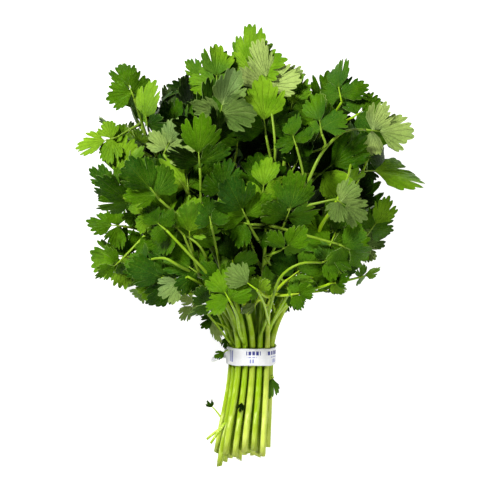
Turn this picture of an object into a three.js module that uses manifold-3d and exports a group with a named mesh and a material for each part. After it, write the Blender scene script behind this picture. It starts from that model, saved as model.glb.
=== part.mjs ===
// A bunch of flat-leaf parsley: cut stems with their branches and lobed leaflets, in a flat twist tie.
//
// Millimetres. +Y runs from the cut ends to the leaves, +X goes across the bunch, and +Z is up. The bunch
// lies on z = 0, and the origin is on that surface, under the middle of its box. Every stem is one solid,
// fused with its branches and blades. A stem, or a branch with its blade, has several seeded poses, and
// takes the first one that is clear of everything placed before it.

import * as THREE from "three";
import Module from "manifold-3d";
import { mergeVertices } from "three/addons/utils/BufferGeometryUtils.js";

const wasm = await Module();
wasm.setup();

// ---- Driving dimensions -------------------------------------------------------------------------

const SEED = 20;

// Where each stem's last blade ends. The rows are the rows of stems in the tie, from the underside up, and
// each runs from left to right. A tip at height 0 belongs to a blade that lies flat on the surface.
const TIPS = [
  [[-88, 24, 0], [-24, 4, 9], [4, 74, 10], [36, 2, 8], [90, 52, 0]],
  [[-98, -8, 34], [-98, 130, 48], [-50, 134, 34], [42, 112, 0], [94, 104, 26], [86, 4, 34]],
  [[-106, 34, 50], [-114, 82, 68], [-3, 158, 62], [64, 130, 58], [100, 100, 60], [114, 47, 56]],
  [[-90, -24, 66], [-76, 42, 92], [-34, 118, 88], [32, 142, 82], [74, 40, 92], [82, -12, 70]],
  [[-58, 2, 104], [-54, 84, 100], [-20, 14, 102], [14, 70, 106], [50, -4, 102]],
];

// The head is a ball, flattened where it lies, that the blades turn their faces out of.
const HEAD = { centre: new THREE.Vector3(0, 50, 48), radii: new THREE.Vector3(116, 104, 54) };

// The bundle of stems, where it passes the tie and where it was cut.
const PITCH = 5.15;
const ROW_RISE = 4.5;
const ROW_SHIFTS = [0.25, 0.25, -0.25, 0.25, 0.25]; // in pitches: each row lies in the gaps of the last
const TIE_AT = new THREE.Vector3(0, -78, 25);
const BUNDLE_RISE = 0.16; // slope of the stems where they pass the tie
const FANNING = 0.006; // slope that a stem adds above the tie, for each millimetre off the middle
const ENDS_AT = new THREE.Vector3(-6.5, -150, 14.2);
const ENDS_SPREAD = { across: 1.3, rise: 1.12 }; // the bundle at its cut ends, against that in the tie
const ENDS_RAGGED = 6;
const ENDS_SLANT = 0.2; // the cut runs back this much to the right

// Radii along a stem, and how much thinner or thicker than these a stem may be.
const STEM = {
  sides: 6, cut: 2.4, tie: 2.2, fork: 1.8, tip: 0.95, thinnest: 0.88, thickest: 1.04,
  clear: 0.1, // between the surface and the tip of a stem that lies on it
};
const BRANCH = { sides: 4, foot: 1.3, tip: 0.85, length: 29 };
const SHOOT = { foot: 1.4, tip: 0.95 };
const BLADE = { thick: 0.8, last: 47, spray: 41, sunk: 0.7 }; // a blade is three leaflets, cut to the rib
const CLEAR = 0.4; // least gap between one stem's solids and another's

const FORK_TO_TIP = 54; // along a stem, from its fork to the foot of its last blade
const PAST_TIE = 8; // a stem runs straight to here, this far up from the middle of the tie
const LEAST_BARE = 44; // no fork is nearer the tie than this
const STEM_TRIES = 90;
const BLADE_TRIES = 120;
const TRIES_PER_BRANCH = 3;

// A frond is full size when its tip is from plus over away from the tie, and smaller when it is nearer.
const SIZE = { from: 30, over: 120, least: 0.68, varies: [0.94, 1.06] };

// A stem's curves. It is straight for this far at its cut end and below the tie. Its handles past the tie
// and before its tip are these shares of its reach, and stray moves the tip's handle on the last try.
const COURSE = {
  straight: 24, lead: [0.26, 0.46], leastLead: 85, trail: [0.2, 0.4], leastTrail: 70, stray: 30, sway: 0.2,
};
const STATIONS = { belowTie: 0.78, first: 0.35, second: 0.7 }; // shares of the way to the tie or the fork
const THINNED = 0.7; // halfway from its fork to its tip, a stem has done this share of its thinning

// A last blade points away from a spot on the stems. The spot is behind the tie for tips above high, and
// within the head for tips below low, and it moves aside with the tip.
const LAST_AIM = { high: 60, low: -30, behind: -98, within: 12, height: 45, aside: 0.2, level: 0.8 };

const FACING = { up: 0.6, out: 0.9, rimRoll: 36, topRoll: 18 }; // how a frond faces, and its roll in degrees

// Where a branch leaves its stem, between the fork at 0 and the tip at 1, its angles in degrees, how its
// length varies, and how far its end turns back along the stem.
const BRANCHING = { at: [-0.3, 0.5], yaw: [30, 66], roll: 30, length: [0.75, 1.25], turnsBack: 0.22 };

// How a blade's pose varies: the angles are in degrees and open up by one share each slack tries.
const POSE = {
  slack: 40, swing: 10, pitch: 14, turn: 24, frond: 0.55, out: 0.75, shrink: 0.08,
  length: [0.92, 1.06], width: [0.86, 1.04], fold: [-0.2, 0.25], droop: [0, 0.22], sag: [-0.1, 0.5],
};

// The key of each draw. Those of the two pushes stand for three draws each, and a branch's add its side.
const KEY = {
  last: 0, ragged: 1, size: 2, lead: 3, trail: 4, girth: 5, frondRoll: 12, spray: 2,
  yaw: 20, roll: 24, branch: 28, at: 32, swayPush: 60, strayPush: 70,
  swing: 5, pitch: 6, turn: 7, length: 8, width: 9, fold: 10, droop: 11, leftSag: 12, rightSag: 13,
};

const SMOOTHING = 0.02; // points this near a straight edge or a flat face are left out of the fused stems
const TO_MIDDLE = new THREE.Vector3(2.1, 0.15, 0); // brings the middle of the box over the origin
const TIE = { width: 12.6, thick: 0.8, gap: 1.4, corners: 32 };
const TAIL = {
  at: [-18.2, -78, 23], reach: [-9, -4, -4], wide: 2.6, flat: 0.36, taper: 0.4, twist: 240, rings: 7,
};

// Blades one unit long with their foot at the origin: the rib, and the right-hand edge from foot to tip.
const RIB = [[0, 0], [0, 0.17], [0, 0.56], [0, 1]];
const SIDE_LEAFLET = [[0.37, -0.08], [0.56, 0], [0.45, 0.12], [0.67, 0.27], [0.44, 0.42]];
const TOOTHED_SIDE_LEAFLET = [
  [0.36, -0.08], [0.57, 0], [0.45, 0.12], [0.68, 0.27], [0.5, 0.39], [0.36, 0.27], [0.3, 0.4],
];
const END_LEAFLET = [[0.025, 0.17], [0.34, 0.55], [0.36, 0.75], [0.14, 0.67], [0.22, 0.88]];
const SMALL_LEAF = { rib: [[0, 0], [0, 0.5], [0, 1]], edge: [[0.43, 0.55], [0.17, 0.6], [0.27, 0.85]] };

// Side shoots below the tie: the stem that each grows on, how far up it, its reach and its leaf's length.
const SHOOTS = [
  { stem: 11, at: 0.5, reach: [-10, 13, 5], leaf: 11 },
  { stem: 5, at: 0.22, reach: [-10, -7, 1], leaf: 0 },
  { stem: 17, at: 0.3, reach: [-9, -12, 3], leaf: 0 },
  { stem: 22, at: 0.78, reach: [4, -5, 4], leaf: 15 },
];
const SHOOT_LEAF = { width: 1, fold: 0.3, droop: 0.2, sag: [0, 0], template: "small" };

// ---- Seeded draws and small helpers -------------------------------------------------------------

// A number from 0 to 1 that depends only on the seed and on the whole numbers given.
function draw(...keys) {
  let hash = SEED;
  for (const key of keys) {
    hash = Math.imul(hash ^ (key + 1), 2654435761) >>> 0;
    hash = Math.imul(hash ^ (hash >>> 15), 2246822519) >>> 0;
    hash = (hash ^ (hash >>> 13)) >>> 0;
  }
  return hash / 4294967296;
}

const between = (low, high, ...keys) => low + (high - low) * draw(...keys);
const { clamp, degToRad, lerp } = THREE.MathUtils;
const vec = (x, y, z) => new THREE.Vector3(x, y, z);
const turned = (v, axis, degrees) => v.clone().applyAxisAngle(axis, degToRad(degrees));
const along = (start, direction, distance) => start.clone().addScaledVector(direction, distance);
const wayTo = (from, to) => to.clone().sub(from).normalize();

// v without its part along the unit vector axis, one unit long.
const squaredTo = (v, axis) => along(v, axis, -v.dot(axis)).normalize();

// The way out of the head at a point.
const outward = (p) => p.clone().sub(HEAD.centre).divide(HEAD.radii).divide(HEAD.radii).normalize();

// ---- Solids -------------------------------------------------------------------------------------

// The points and triangles of a closed geometry, ready to be bent.
function templateOf(geometry) {
  geometry.deleteAttribute("normal");
  geometry.deleteAttribute("uv");
  const merged = mergeVertices(geometry);
  const position = merged.getAttribute("position");
  const points = Array.from({ length: position.count }, (_, i) => vec().fromBufferAttribute(position, i));
  return { points, faces: Uint32Array.from(merged.index.array) };
}

// The solid that a template becomes when place moves each of its points.
function bent(template, place) {
  const vertProperties = new Float32Array(template.points.flatMap((p) => place(p).toArray()));
  return new wasm.Manifold(new wasm.Mesh({ numProp: 3, vertProperties, triVerts: template.faces }));
}

// An upright prism, one unit in radius, with a ring of corners at each whole height from 0.
const prisms = new Map();
function prismTemplate(sides, rings) {
  const key = `${sides} ${rings}`;
  if (!prisms.has(key)) {
    const angles = Array.from({ length: sides }, (_, k) => (2 * Math.PI * k) / sides);
    const corners = angles.map((angle) => new THREE.Vector2(Math.sin(angle), Math.cos(angle)));
    const outline = new THREE.Shape(corners);
    const steps = rings - 1;
    const geometry = new THREE.ExtrudeGeometry(outline, { depth: steps, steps, bevelEnabled: false });
    prisms.set(key, templateOf(geometry));
  }
  return prisms.get(key);
}

// A closed tapering tube through stations, each with its centre and its radius.
function tube(stations, sides, grow = 0) {
  const centres = stations.map((station) => station.centre);
  let up = vec(0, 0, 1);
  const frames = centres.map((centre, i) => {
    const forward = wayTo(centres[Math.max(i - 1, 0)], centres[Math.min(i + 1, centres.length - 1)]);
    up = squaredTo(up, forward);
    return { centre, up, right: up.clone().cross(forward), radius: stations[i].radius + grow };
  });
  return bent(prismTemplate(sides, stations.length), ({ x, y, z }) => {
    const { centre, up, right, radius } = frames[Math.round(z)];
    return along(along(centre, right, x * radius), up, y * radius);
  });
}

// A flat blade one unit long and thick: both halves of its outline, without the walls where they meet.
function bladeTemplate(rib, edge) {
  const half = new THREE.Shape([...rib, ...edge.toReversed()].map(([x, y]) => new THREE.Vector2(x, y)));
  const slab = new THREE.ExtrudeGeometry(half, { depth: 1, bevelEnabled: false }).translate(0, 0, -0.5);
  const corners = slab.getAttribute("position").array;
  const kept = [];
  for (let i = 0; i < corners.length; i += 9) {
    const [a, b, c] = [0, 3, 6].map((k) => [corners[i + k], corners[i + k + 1], corners[i + k + 2]]);
    if (Math.max(a[0], b[0], c[0]) < 1e-6) continue;
    kept.push(...a, ...b, ...c);
    kept.push(...[c, b, a].flatMap(([x, y, z]) => [-x, y, z]));
  }
  const both = new THREE.BufferGeometry();
  both.setAttribute("position", new THREE.Float32BufferAttribute(kept, 3));
  return templateOf(both);
}

const TEMPLATES = {
  plain: bladeTemplate(RIB, [...SIDE_LEAFLET, ...END_LEAFLET]),
  toothed: bladeTemplate(RIB, [...TOOTHED_SIDE_LEAFLET, ...END_LEAFLET]),
  small: bladeTemplate(SMALL_LEAF.rib, SMALL_LEAF.edge),
};

// A blade folded along its rib, drooping to its tip and to both sides. aim is the way of its rib, and face
// that of its upper side.
function bladeSolid({ foot, aim, face, length, width, fold, droop, sag, template }, grow = 0) {
  const right = aim.clone().cross(face);
  return bent(TEMPLATES[template], ({ x, y, z }) => {
    const bend = fold * Math.abs(x) - droop * y * y - sag[x < 0 ? 0 : 1] * x * x;
    const lift = length * bend + z * (BLADE.thick + grow);
    return along(along(along(foot, aim, y * length), right, x * width * length), face, lift);
  });
}

// ---- Keeping clear ------------------------------------------------------------------------------

const placed = []; // every solid so far, with its stem's number, its limb's name and its box

const boxOf = (solid) => {
  const { min, max } = solid.boundingBox();
  return new THREE.Box3(vec(...min), vec(...max));
};

function keep(solid, stem, limb) {
  placed.push({ solid, stem, limb, box: boxOf(solid) });
}

function meets(solid, others) {
  const box = boxOf(solid);
  return others.some((other) => other.box.intersectsBox(box) && !solid.intersect(other.solid).isEmpty());
}

const aboveSurface = (solid) => solid.boundingBox().min[2] > -0.01;

// Tries poses in turn, and keeps the solids of the first one that is above the surface, clear of the other
// stems, and clear of its own stem's limbs apart from those that it grows from. limbsOf gives a pose's
// solids by name.
function settle({ stem, growsFrom, tries, poseOf, limbsOf }) {
  const others = placed.filter((other) => other.stem !== stem);
  const own = placed.filter((other) => other.stem === stem);
  for (let attempt = 0; attempt < tries; attempt++) {
    const pose = poseOf(attempt);
    const limbs = Object.entries(limbsOf(pose, 0));
    const fits = limbs.every(([limb, solid]) => {
      const rivals = own.filter((other) => !growsFrom[limb].includes(other.limb));
      return aboveSurface(solid) && !meets(solid, rivals);
    });
    if (!fits || Object.values(limbsOf(pose, CLEAR)).some((solid) => meets(solid, others))) continue;
    limbs.forEach(([limb, solid]) => keep(solid, stem, limb));
    return pose;
  }
  return null;
}

// ---- Stems --------------------------------------------------------------------------------------

// Each stem's number, its place in the bundle and its tip.
function stemPlans() {
  const plans = TIPS.flatMap((row, level) =>
    row.map((tip, i) => ({
      tip: vec(...tip),
      rests: tip[2] === 0,
      across: (i - (row.length - 1) / 2 + ROW_SHIFTS[level]) * PITCH,
      rise: (level - (TIPS.length - 1) / 2) * ROW_RISE,
    })),
  );
  return plans.map((plan, number) => ({ ...plan, number }));
}

// The way that a stem's last blade points: out from the bundle, or for a low tip, back from in the head.
function lastAim(tip, rests) {
  const low = clamp((LAST_AIM.high - tip.y) / (LAST_AIM.high - LAST_AIM.low), 0, 1);
  const away = lerp(LAST_AIM.behind, LAST_AIM.within, low);
  const from = vec(LAST_AIM.aside * low * tip.x, away, lerp(TIE_AT.z, LAST_AIM.height, low));
  const aim = wayTo(from, tip);
  if (rests) return vec(aim.x, aim.y, 0).normalize();
  const out = outward(tip);
  return along(aim, out, -LAST_AIM.level * out.z * out.z * aim.dot(out)).normalize();
}

// One course of a stem: a curve from its cut end to the tie, and one on to the foot of its last blade.
function stemCourse(plan, attempt) {
  const { number, across, rise, tip, rests } = plan;
  const inTie = vec(TIE_AT.x + across, TIE_AT.y, TIE_AT.z + rise);
  const spread = ENDS_AT.clone().add(vec(across * ENDS_SPREAD.across, 0, rise * ENDS_SPREAD.rise));
  const ragged = between(-ENDS_RAGGED, ENDS_RAGGED, number, KEY.ragged) - ENDS_SLANT * across;
  const end = along(spread, wayTo(inTie, spread), ragged);
  const full = clamp((inTie.distanceTo(tip) - SIZE.from) / SIZE.over, SIZE.least, 1);
  const size = full * between(...SIZE.varies, number, KEY.size);
  const target = rests ? vec(tip.x, tip.y, BLADE.thick / 2) : tip;
  const aim = lastAim(target, rests);
  const foot = along(target, aim, -BLADE.last * size);
  if (rests) foot.z = STEM.tip + STEM.clear;
  const reach = inTie.distanceTo(foot);
  const arrive = vec(0, 1, BUNDLE_RISE).normalize();
  const leave = vec(FANNING * across, 1, BUNDLE_RISE + FANNING * rise).normalize();
  const stray = (attempt / STEM_TRIES) * COURSE.stray;
  const aside = (most, key) => between(-most, most, number, key, attempt);
  const push = (most, key) => vec(aside(most, key), aside(most, key + 1), aside(most, key + 2));
  const lead = Math.max(reach, COURSE.leastLead) * between(...COURSE.lead, number, KEY.lead, attempt);
  const trail = Math.max(reach, COURSE.leastTrail) * between(...COURSE.trail, number, KEY.trail, attempt);
  const lower = new THREE.CubicBezierCurve3(
    end,
    along(end, wayTo(end, inTie), COURSE.straight),
    along(inTie, arrive, -COURSE.straight),
    inTie,
  );
  const upper = new THREE.CubicBezierCurve3(
    inTie,
    along(inTie, leave, lead).add(push(COURSE.sway * stray, KEY.swayPush)),
    along(foot, aim, -trail).add(push(stray, KEY.strayPush)),
    foot,
  );
  const fork = 1 - Math.min(FORK_TO_TIP * size, reach - LEAST_BARE) / reach;
  const girth = between(STEM.thinnest, STEM.thickest, number, KEY.girth);
  return { lower, upper, aim, size, fork, target, girth };
}

function stemSolid({ lower, upper, fork, girth }, grow = 0) {
  const station = (curve, t, radius) => ({ centre: curve.getPoint(t), radius: radius * girth });
  const pastTie = PAST_TIE / (3 * upper.v0.distanceTo(upper.v1));
  const stations = [
    station(lower, 0, STEM.cut),
    station(lower, STATIONS.belowTie, lerp(STEM.cut, STEM.tie, STATIONS.belowTie)),
    station(upper, pastTie, STEM.tie),
    station(upper, STATIONS.first * fork, lerp(STEM.tie, STEM.fork, STATIONS.first)),
    station(upper, STATIONS.second * fork, lerp(STEM.tie, STEM.fork, STATIONS.second)),
    station(upper, fork, STEM.fork),
    station(upper, lerp(fork, 1, 0.5), lerp(STEM.fork, STEM.tip, THINNED)),
    station(upper, 1, STEM.tip / girth),
  ];
  return tube(stations, STEM.sides, grow);
}

// The way that a stem's frond faces: out of the head and up, and turned a little about its own stem.
function frondFace({ number, course }) {
  const out = outward(course.target);
  const upright = squaredTo(along(vec(0, 0, FACING.up), out, FACING.out), course.aim);
  const roll = lerp(FACING.rimRoll, FACING.topRoll, Math.abs(out.z));
  return turned(upright, course.aim, between(-roll, roll, number, KEY.frondRoll));
}

// ---- Branches -----------------------------------------------------------------------------------

function branchCourse({ number, frond, course }, side, attempt) {
  const { upper, size } = course;
  const at = lerp(course.fork, 1, between(...BRANCHING.at, number, side + KEY.at, attempt));
  const stemAim = upper.getTangent(at);
  const foot = upper.getPoint(at);
  const level = turned(stemAim, frond, side * between(...BRANCHING.yaw, number, side + KEY.yaw, attempt));
  const roll = between(-BRANCHING.roll, BRANCHING.roll, number, side + KEY.roll, attempt);
  const heading = turned(level, stemAim, roll);
  const varied = between(...BRANCHING.length, number, side + KEY.branch, attempt);
  const length = BRANCH.length * size * varied;
  const middle = along(foot, heading, length / 2);
  const end = along(along(foot, heading, length), wayTo(foot, upper.v3), BRANCHING.turnsBack * length);
  return { foot, middle, end, aim: wayTo(middle, end) };
}

function branchSolid({ foot, middle, end }, grow = 0) {
  const stations = [
    { centre: foot, radius: BRANCH.foot },
    { centre: middle, radius: lerp(BRANCH.foot, BRANCH.tip, 0.5) },
    { centre: end, radius: BRANCH.tip },
  ];
  return tube(stations, BRANCH.sides, grow);
}

// ---- Twist tie ----------------------------------------------------------------------------------

// How far the bundle reaches from the middle of the tie in the direction of an angle.
function bundleReach(plans, angle) {
  const reaches = plans.map(({ across, rise }) => across * Math.cos(angle) + rise * Math.sin(angle));
  return Math.max(...reaches) + STEM.tie * STEM.thickest;
}

// The outline of a band pulled round the bundle, at a distance from it: tangents that meet at its corners.
function bandOutline(plans, distance) {
  const turn = (2 * Math.PI) / TIE.corners;
  return Array.from({ length: TIE.corners }, (_, k) => {
    const [first, second] = [k * turn, (k + 1) * turn];
    const [a, b] = [bundleReach(plans, first) + distance, bundleReach(plans, second) + distance];
    const x = (a * Math.sin(second) - b * Math.sin(first)) / Math.sin(turn);
    const y = (b * Math.cos(first) - a * Math.cos(second)) / Math.sin(turn);
    return new THREE.Vector2(x, y);
  });
}

// The band, square to the stems that it holds, with its two ends twisted together at its left.
function tieSolid(plans) {
  const ring = new THREE.Shape(bandOutline(plans, TIE.gap + TIE.thick));
  ring.holes.push(new THREE.Path(bandOutline(plans, TIE.gap)));
  const band = new THREE.ExtrudeGeometry(ring, { depth: TIE.width, bevelEnabled: false });
  band.translate(0, 0, -TIE.width / 2);
  const bundleWay = vec(0, 1, BUNDLE_RISE).normalize();
  const right = vec(1, 0, 0);
  const up = right.clone().cross(bundleWay);
  const basis = new THREE.Matrix4().makeBasis(right, up, bundleWay.clone().negate()).setPosition(TIE_AT);
  const start = vec(...TAIL.at);
  const reach = vec(...TAIL.reach);
  const tailWay = reach.clone().normalize();
  const across = squaredTo(bundleWay, tailWay);
  const through = tailWay.clone().cross(across);
  const tail = bent(prismTemplate(4, TAIL.rings), ({ x, y, z }) => {
    const t = z / (TAIL.rings - 1);
    const wide = TAIL.wide * (1 - TAIL.taper * t);
    const corner = across.clone().multiplyScalar(x * wide).addScaledVector(through, y * wide * TAIL.flat);
    return along(start, reach, t).add(turned(corner, tailWay, t * TAIL.twist));
  });
  return bent(templateOf(band), (p) => p.applyMatrix4(basis)).add(tail);
}

// ---- Blades -------------------------------------------------------------------------------------

// One pose of a blade: its rib swings a little about the frond's face, and its own face turns outward.
function bladePose({ foot, aim, length, template }, frond, keys, attempt) {
  const loose = 1 + attempt / POSE.slack;
  const angle = (reach, key) => between(-reach, reach, ...keys, key, attempt) * loose;
  const varied = (range, key) => between(...range, ...keys, key);
  const level = turned(aim, frond, angle(POSE.swing, KEY.swing));
  const out = outward(along(foot, level, length / 2));
  const outFace = squaredTo(frond.clone().multiplyScalar(POSE.frond).addScaledVector(out, POSE.out), level);
  const across = level.clone().cross(outFace);
  const pitch = angle(POSE.pitch, KEY.pitch);
  const heading = turned(level, across, pitch);
  const shrunk = 1 + POSE.shrink - POSE.shrink * loose;
  return {
    foot: along(foot, heading, -BLADE.sunk),
    aim: heading,
    face: turned(turned(outFace, across, pitch), heading, angle(POSE.turn, KEY.turn)),
    length: length * between(...POSE.length, ...keys, KEY.length, attempt) * shrunk,
    width: varied(POSE.width, KEY.width),
    fold: varied(POSE.fold, KEY.fold),
    droop: varied(POSE.droop, KEY.droop),
    sag: [varied(POSE.sag, KEY.leftSag), varied(POSE.sag, KEY.rightSag)],
    template,
  };
}

// The blade at the stem's own end.
function lastBlade({ number, frond, course }, attempt) {
  const { upper, aim, size } = course;
  const spot = { foot: upper.v3, aim, length: BLADE.last * size, template: "toothed" };
  return bladePose(spot, frond, [number, KEY.last], attempt);
}

// A branch with the blade at its end.
function spray(plan, side, attempt) {
  const branch = branchCourse(plan, side, Math.floor(attempt / TRIES_PER_BRANCH));
  const { end, aim } = branch;
  const spot = { foot: end, aim, length: BLADE.spray * plan.course.size, template: "plain" };
  return { branch, blade: bladePose(spot, plan.frond, [plan.number, side + KEY.spray], attempt) };
}

// The last blade of a stem whose tip lies on the surface.
function restingBlade({ course }) {
  const { upper, aim, size } = course;
  const back = along(upper.v3, aim, -BLADE.sunk);
  const foot = vec(back.x, back.y, BLADE.thick / 2);
  const flat = { face: vec(0, 0, 1), width: 1, fold: 0, droop: 0, sag: [0, 0], template: "toothed" };
  return { foot, aim, length: BLADE.last * size, ...flat };
}

// ---- Side shoots --------------------------------------------------------------------------------

// A side shoot below the tie, with a small leaf at its end or cut off short.
function shootLimbs({ at, reach, leaf }, course, grow) {
  const foot = course.lower.getPoint(at);
  const end = foot.clone().add(vec(...reach));
  const stations = [
    { centre: foot, radius: SHOOT.foot },
    { centre: end, radius: SHOOT.tip },
  ];
  const shoot = tube(stations, BRANCH.sides, grow);
  if (!leaf) return { shoot };
  const aim = wayTo(foot, end);
  const face = squaredTo(vec(0, 0, 1), aim);
  const pose = { foot: along(end, aim, -BLADE.sunk), aim, face, length: leaf, ...SHOOT_LEAF };
  return { shoot, shootLeaf: bladeSolid(pose, grow) };
}

// ---- The bunch ----------------------------------------------------------------------------------

const plans = stemPlans();
const tie = tieSolid(plans);
keep(tie, "tie", "band");

for (const plan of plans) {
  plan.course = settle({
    stem: plan.number,
    growsFrom: { stem: [] },
    tries: STEM_TRIES,
    poseOf: (attempt) => stemCourse(plan, attempt),
    limbsOf: (course, grow) => ({ stem: stemSolid(course, grow) }),
  });
  plan.frond = frondFace(plan);
}
for (const shoot of SHOOTS) {
  settle({
    stem: shoot.stem,
    growsFrom: { shoot: ["stem"], shootLeaf: [] },
    tries: 1,
    poseOf: () => plans[shoot.stem].course,
    limbsOf: (course, grow) => shootLimbs(shoot, course, grow),
  });
}
for (const plan of plans.filter(({ rests }) => rests)) {
  keep(bladeSolid(restingBlade(plan)), plan.number, "blade");
}
for (const plan of plans.filter(({ rests }) => !rests)) {
  settle({
    stem: plan.number,
    growsFrom: { blade: ["stem"] },
    tries: BLADE_TRIES,
    poseOf: (attempt) => lastBlade(plan, attempt),
    limbsOf: (pose, grow) => ({ blade: bladeSolid(pose, grow) }),
  });
}
for (const side of [-1, 1]) {
  for (const plan of plans) {
    settle({
      stem: plan.number,
      growsFrom: { branch: ["stem", "branch"], spray: [] },
      tries: BLADE_TRIES,
      poseOf: (attempt) => spray(plan, side, attempt),
      limbsOf: ({ branch, blade }, grow) => ({
        branch: branchSolid(branch, grow),
        spray: bladeSolid(blade, grow),
      }),
    });
  }
}

const bunch = new THREE.Group();
bunch.position.copy(TO_MIDDLE);

function addNode(name, solid, material) {
  const mesh = solid.getMesh();
  const geometry = new THREE.BufferGeometry();
  geometry.setAttribute("position", new THREE.BufferAttribute(mesh.vertProperties, 3));
  geometry.setIndex(new THREE.BufferAttribute(mesh.triVerts, 1));
  const node = new THREE.Mesh(geometry, new THREE.MeshStandardMaterial({ metalness: 0, ...material }));
  node.name = name;
  bunch.add(node);
}

for (const { number } of plans) {
  const limbs = placed.filter(({ stem }) => stem === number).map(({ solid }) => solid);
  const fused = wasm.Manifold.union(limbs).simplify(SMOOTHING);
  const name = `leafy_stem_${String(number + 1).padStart(2, "0")}`;
  addNode(name, fused, { color: 0x5b8c1f, roughness: 0.55 });
}
addNode("twist_tie", tie, { color: 0xeceef4, roughness: 0.6 });

export default bunch;
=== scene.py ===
"""A bunch of flat-leaf parsley in a flat twist tie, lying on a pale floor and seen from above.

The frame holds 28 leafy stems and the tie. Each stem of the frame has one of many seeded poses, so the poses
are worked out again here and set against the frame's solids, and the fine stalks and leaflets are grown along
those that fit. Smaller leaves then fill the head. Lengths are millimetres until a mesh is finished.
"""

import math

import bmesh
import bpy
import numpy as np
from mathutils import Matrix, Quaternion, Vector
from mathutils.bvhtree import BVHTree


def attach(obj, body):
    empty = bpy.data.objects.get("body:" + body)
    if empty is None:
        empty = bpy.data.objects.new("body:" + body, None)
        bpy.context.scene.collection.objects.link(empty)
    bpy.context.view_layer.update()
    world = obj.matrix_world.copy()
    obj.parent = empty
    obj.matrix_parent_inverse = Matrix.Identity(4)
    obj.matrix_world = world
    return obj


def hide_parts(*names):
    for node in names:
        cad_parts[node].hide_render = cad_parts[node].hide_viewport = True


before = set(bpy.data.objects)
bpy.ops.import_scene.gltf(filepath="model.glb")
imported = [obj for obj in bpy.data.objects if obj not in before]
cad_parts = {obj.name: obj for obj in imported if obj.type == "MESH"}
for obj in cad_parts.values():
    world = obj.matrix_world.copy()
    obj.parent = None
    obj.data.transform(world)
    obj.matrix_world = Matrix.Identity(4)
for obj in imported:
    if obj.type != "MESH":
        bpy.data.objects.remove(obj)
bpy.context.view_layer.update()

MM = 0.001
UP = Vector((0, 0, 1))

# ---- Sizes that the frame's stems were laid out by ------------------------------------------------

SEED = 20

# Where each stem's last blade ends: rows of stems in the tie, from the underside up, and left to right.
TIPS = [
    [[-88, 24, 0], [-24, 4, 9], [4, 74, 10], [36, 2, 8], [90, 52, 0]],
    [[-98, -8, 34], [-98, 130, 48], [-50, 134, 34], [42, 112, 0], [94, 104, 26], [86, 4, 34]],
    [[-106, 34, 50], [-114, 82, 68], [-3, 158, 62], [64, 130, 58], [100, 100, 60], [114, 47, 56]],
    [[-90, -24, 66], [-76, 42, 92], [-34, 118, 88], [32, 142, 82], [74, 40, 92], [82, -12, 70]],
    [[-58, 2, 104], [-54, 84, 100], [-20, 14, 102], [14, 70, 106], [50, -4, 102]],
]
HEAD_CENTRE = Vector((0, 50, 48))
HEAD_RADII = Vector((116, 104, 54))

PITCH = 5.15
ROW_RISE = 4.5
ROW_SHIFTS = [0.25, 0.25, -0.25, 0.25, 0.25]
TIE_AT = Vector((0, -78, 25))
BUNDLE_RISE = 0.16
FANNING = 0.006
ENDS_AT = Vector((-6.5, -150, 14.2))
ENDS_SPREAD = {"across": 1.3, "rise": 1.12}
ENDS_RAGGED = 6
ENDS_SLANT = 0.2

STEM = {
    "sides": 6, "cut": 2.4, "tie": 2.2, "fork": 1.8, "tip": 0.95, "thin": 0.88, "thick": 1.04,
    "past_fork": 0.7, "clear": 0.1,
}
BRANCH = {"foot": 1.3, "tip": 0.85, "length": 29}
SHOOT = {"foot": 1.4, "tip": 0.95}
BLADE = {"thick": 0.8, "last": 47, "spray": 41, "sunk": 0.7}

FORK_TO_TIP = 54
LEAST_BARE = 44
STEM_TRIES = 90
BLADE_TRIES = 120
TRIES_PER_BRANCH = 3
SIZE = {"from": 30, "over": 120, "least": 0.68, "varies": (0.94, 1.06)}
COURSE = {
    "straight": 24, "lead": (0.26, 0.46), "least_lead": 85, "trail": (0.2, 0.4), "least_trail": 70,
    "stray": 30, "sway": 0.2,
}
LAST_AIM = {"high": 60, "low": -30, "behind": -98, "within": 12, "height": 45, "aside": 0.2, "level": 0.8}
FACING = {"up": 0.6, "out": 0.9, "rim_roll": 36, "top_roll": 18}
BRANCHING = {"at": (-0.3, 0.5), "yaw": (30, 66), "roll": 30, "length": (0.75, 1.25), "turns_back": 0.22}
POSE = {
    "slack": 40, "swing": 10, "pitch": 14, "turn": 24, "frond": 0.55, "out": 0.75, "shrink": 0.08,
    "length": (0.92, 1.06), "width": (0.86, 1.04), "fold": (-0.2, 0.25), "droop": (0, 0.22),
    "sag": (-0.1, 0.5),
}
KEY = {
    "last": 0, "ragged": 1, "size": 2, "lead": 3, "trail": 4, "girth": 5, "frond_roll": 12, "spray": 2,
    "yaw": 20, "roll": 24, "branch": 28, "at": 32, "sway_push": 60, "stray_push": 70,
    "swing": 5, "pitch": 6, "turn": 7, "length": 8, "width": 9, "fold": 10, "droop": 11,
    "left_sag": 12, "right_sag": 13,
}

# Keys of the draws that only this script makes, and of the groups of things that it makes them for.
OWN_KEY = {
    "cleft_at": 201, "cleft": 203, "sides": 205, "teeth": 207, "spread": 208, "lean": 209, "phase": 210,
    "left_fold": 211, "right_fold": 212, "left_roll": 213, "right_roll": 214, "ripple": 215,
    "ripple_phase": 216, "twist": 217, "curve": 218, "lobes": 219,
    "leaflet_turn": 221, "leaflet_width": 222, "leaflet_length": 223,
    "at": 231, "aside": 232, "yaw": 233, "branch": 234, "varies": 235, "turn": 236, "fold": 237, "droop": 238,
    "left_sag": 239, "right_sag": 240, "turned_over": 241,
    "near_tone": 250, "leaf_tone": 251, "past_cut": 260, "slant_x": 261, "slant_z": 262, "stalk_tone": 263,
    "low_height": 271, "low_x": 272, "low_y": 273, "low_yaw": 274, "low_pitch": 275, "low_length": 276,
    "low_turn": 277,
}
GROUP = {
    "frame": 290, "fill": 300, "standing": 400, "withered": 450, "small": 451, "low": 460,
    "ground_row": 500, "ground_column": 40,
}

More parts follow.
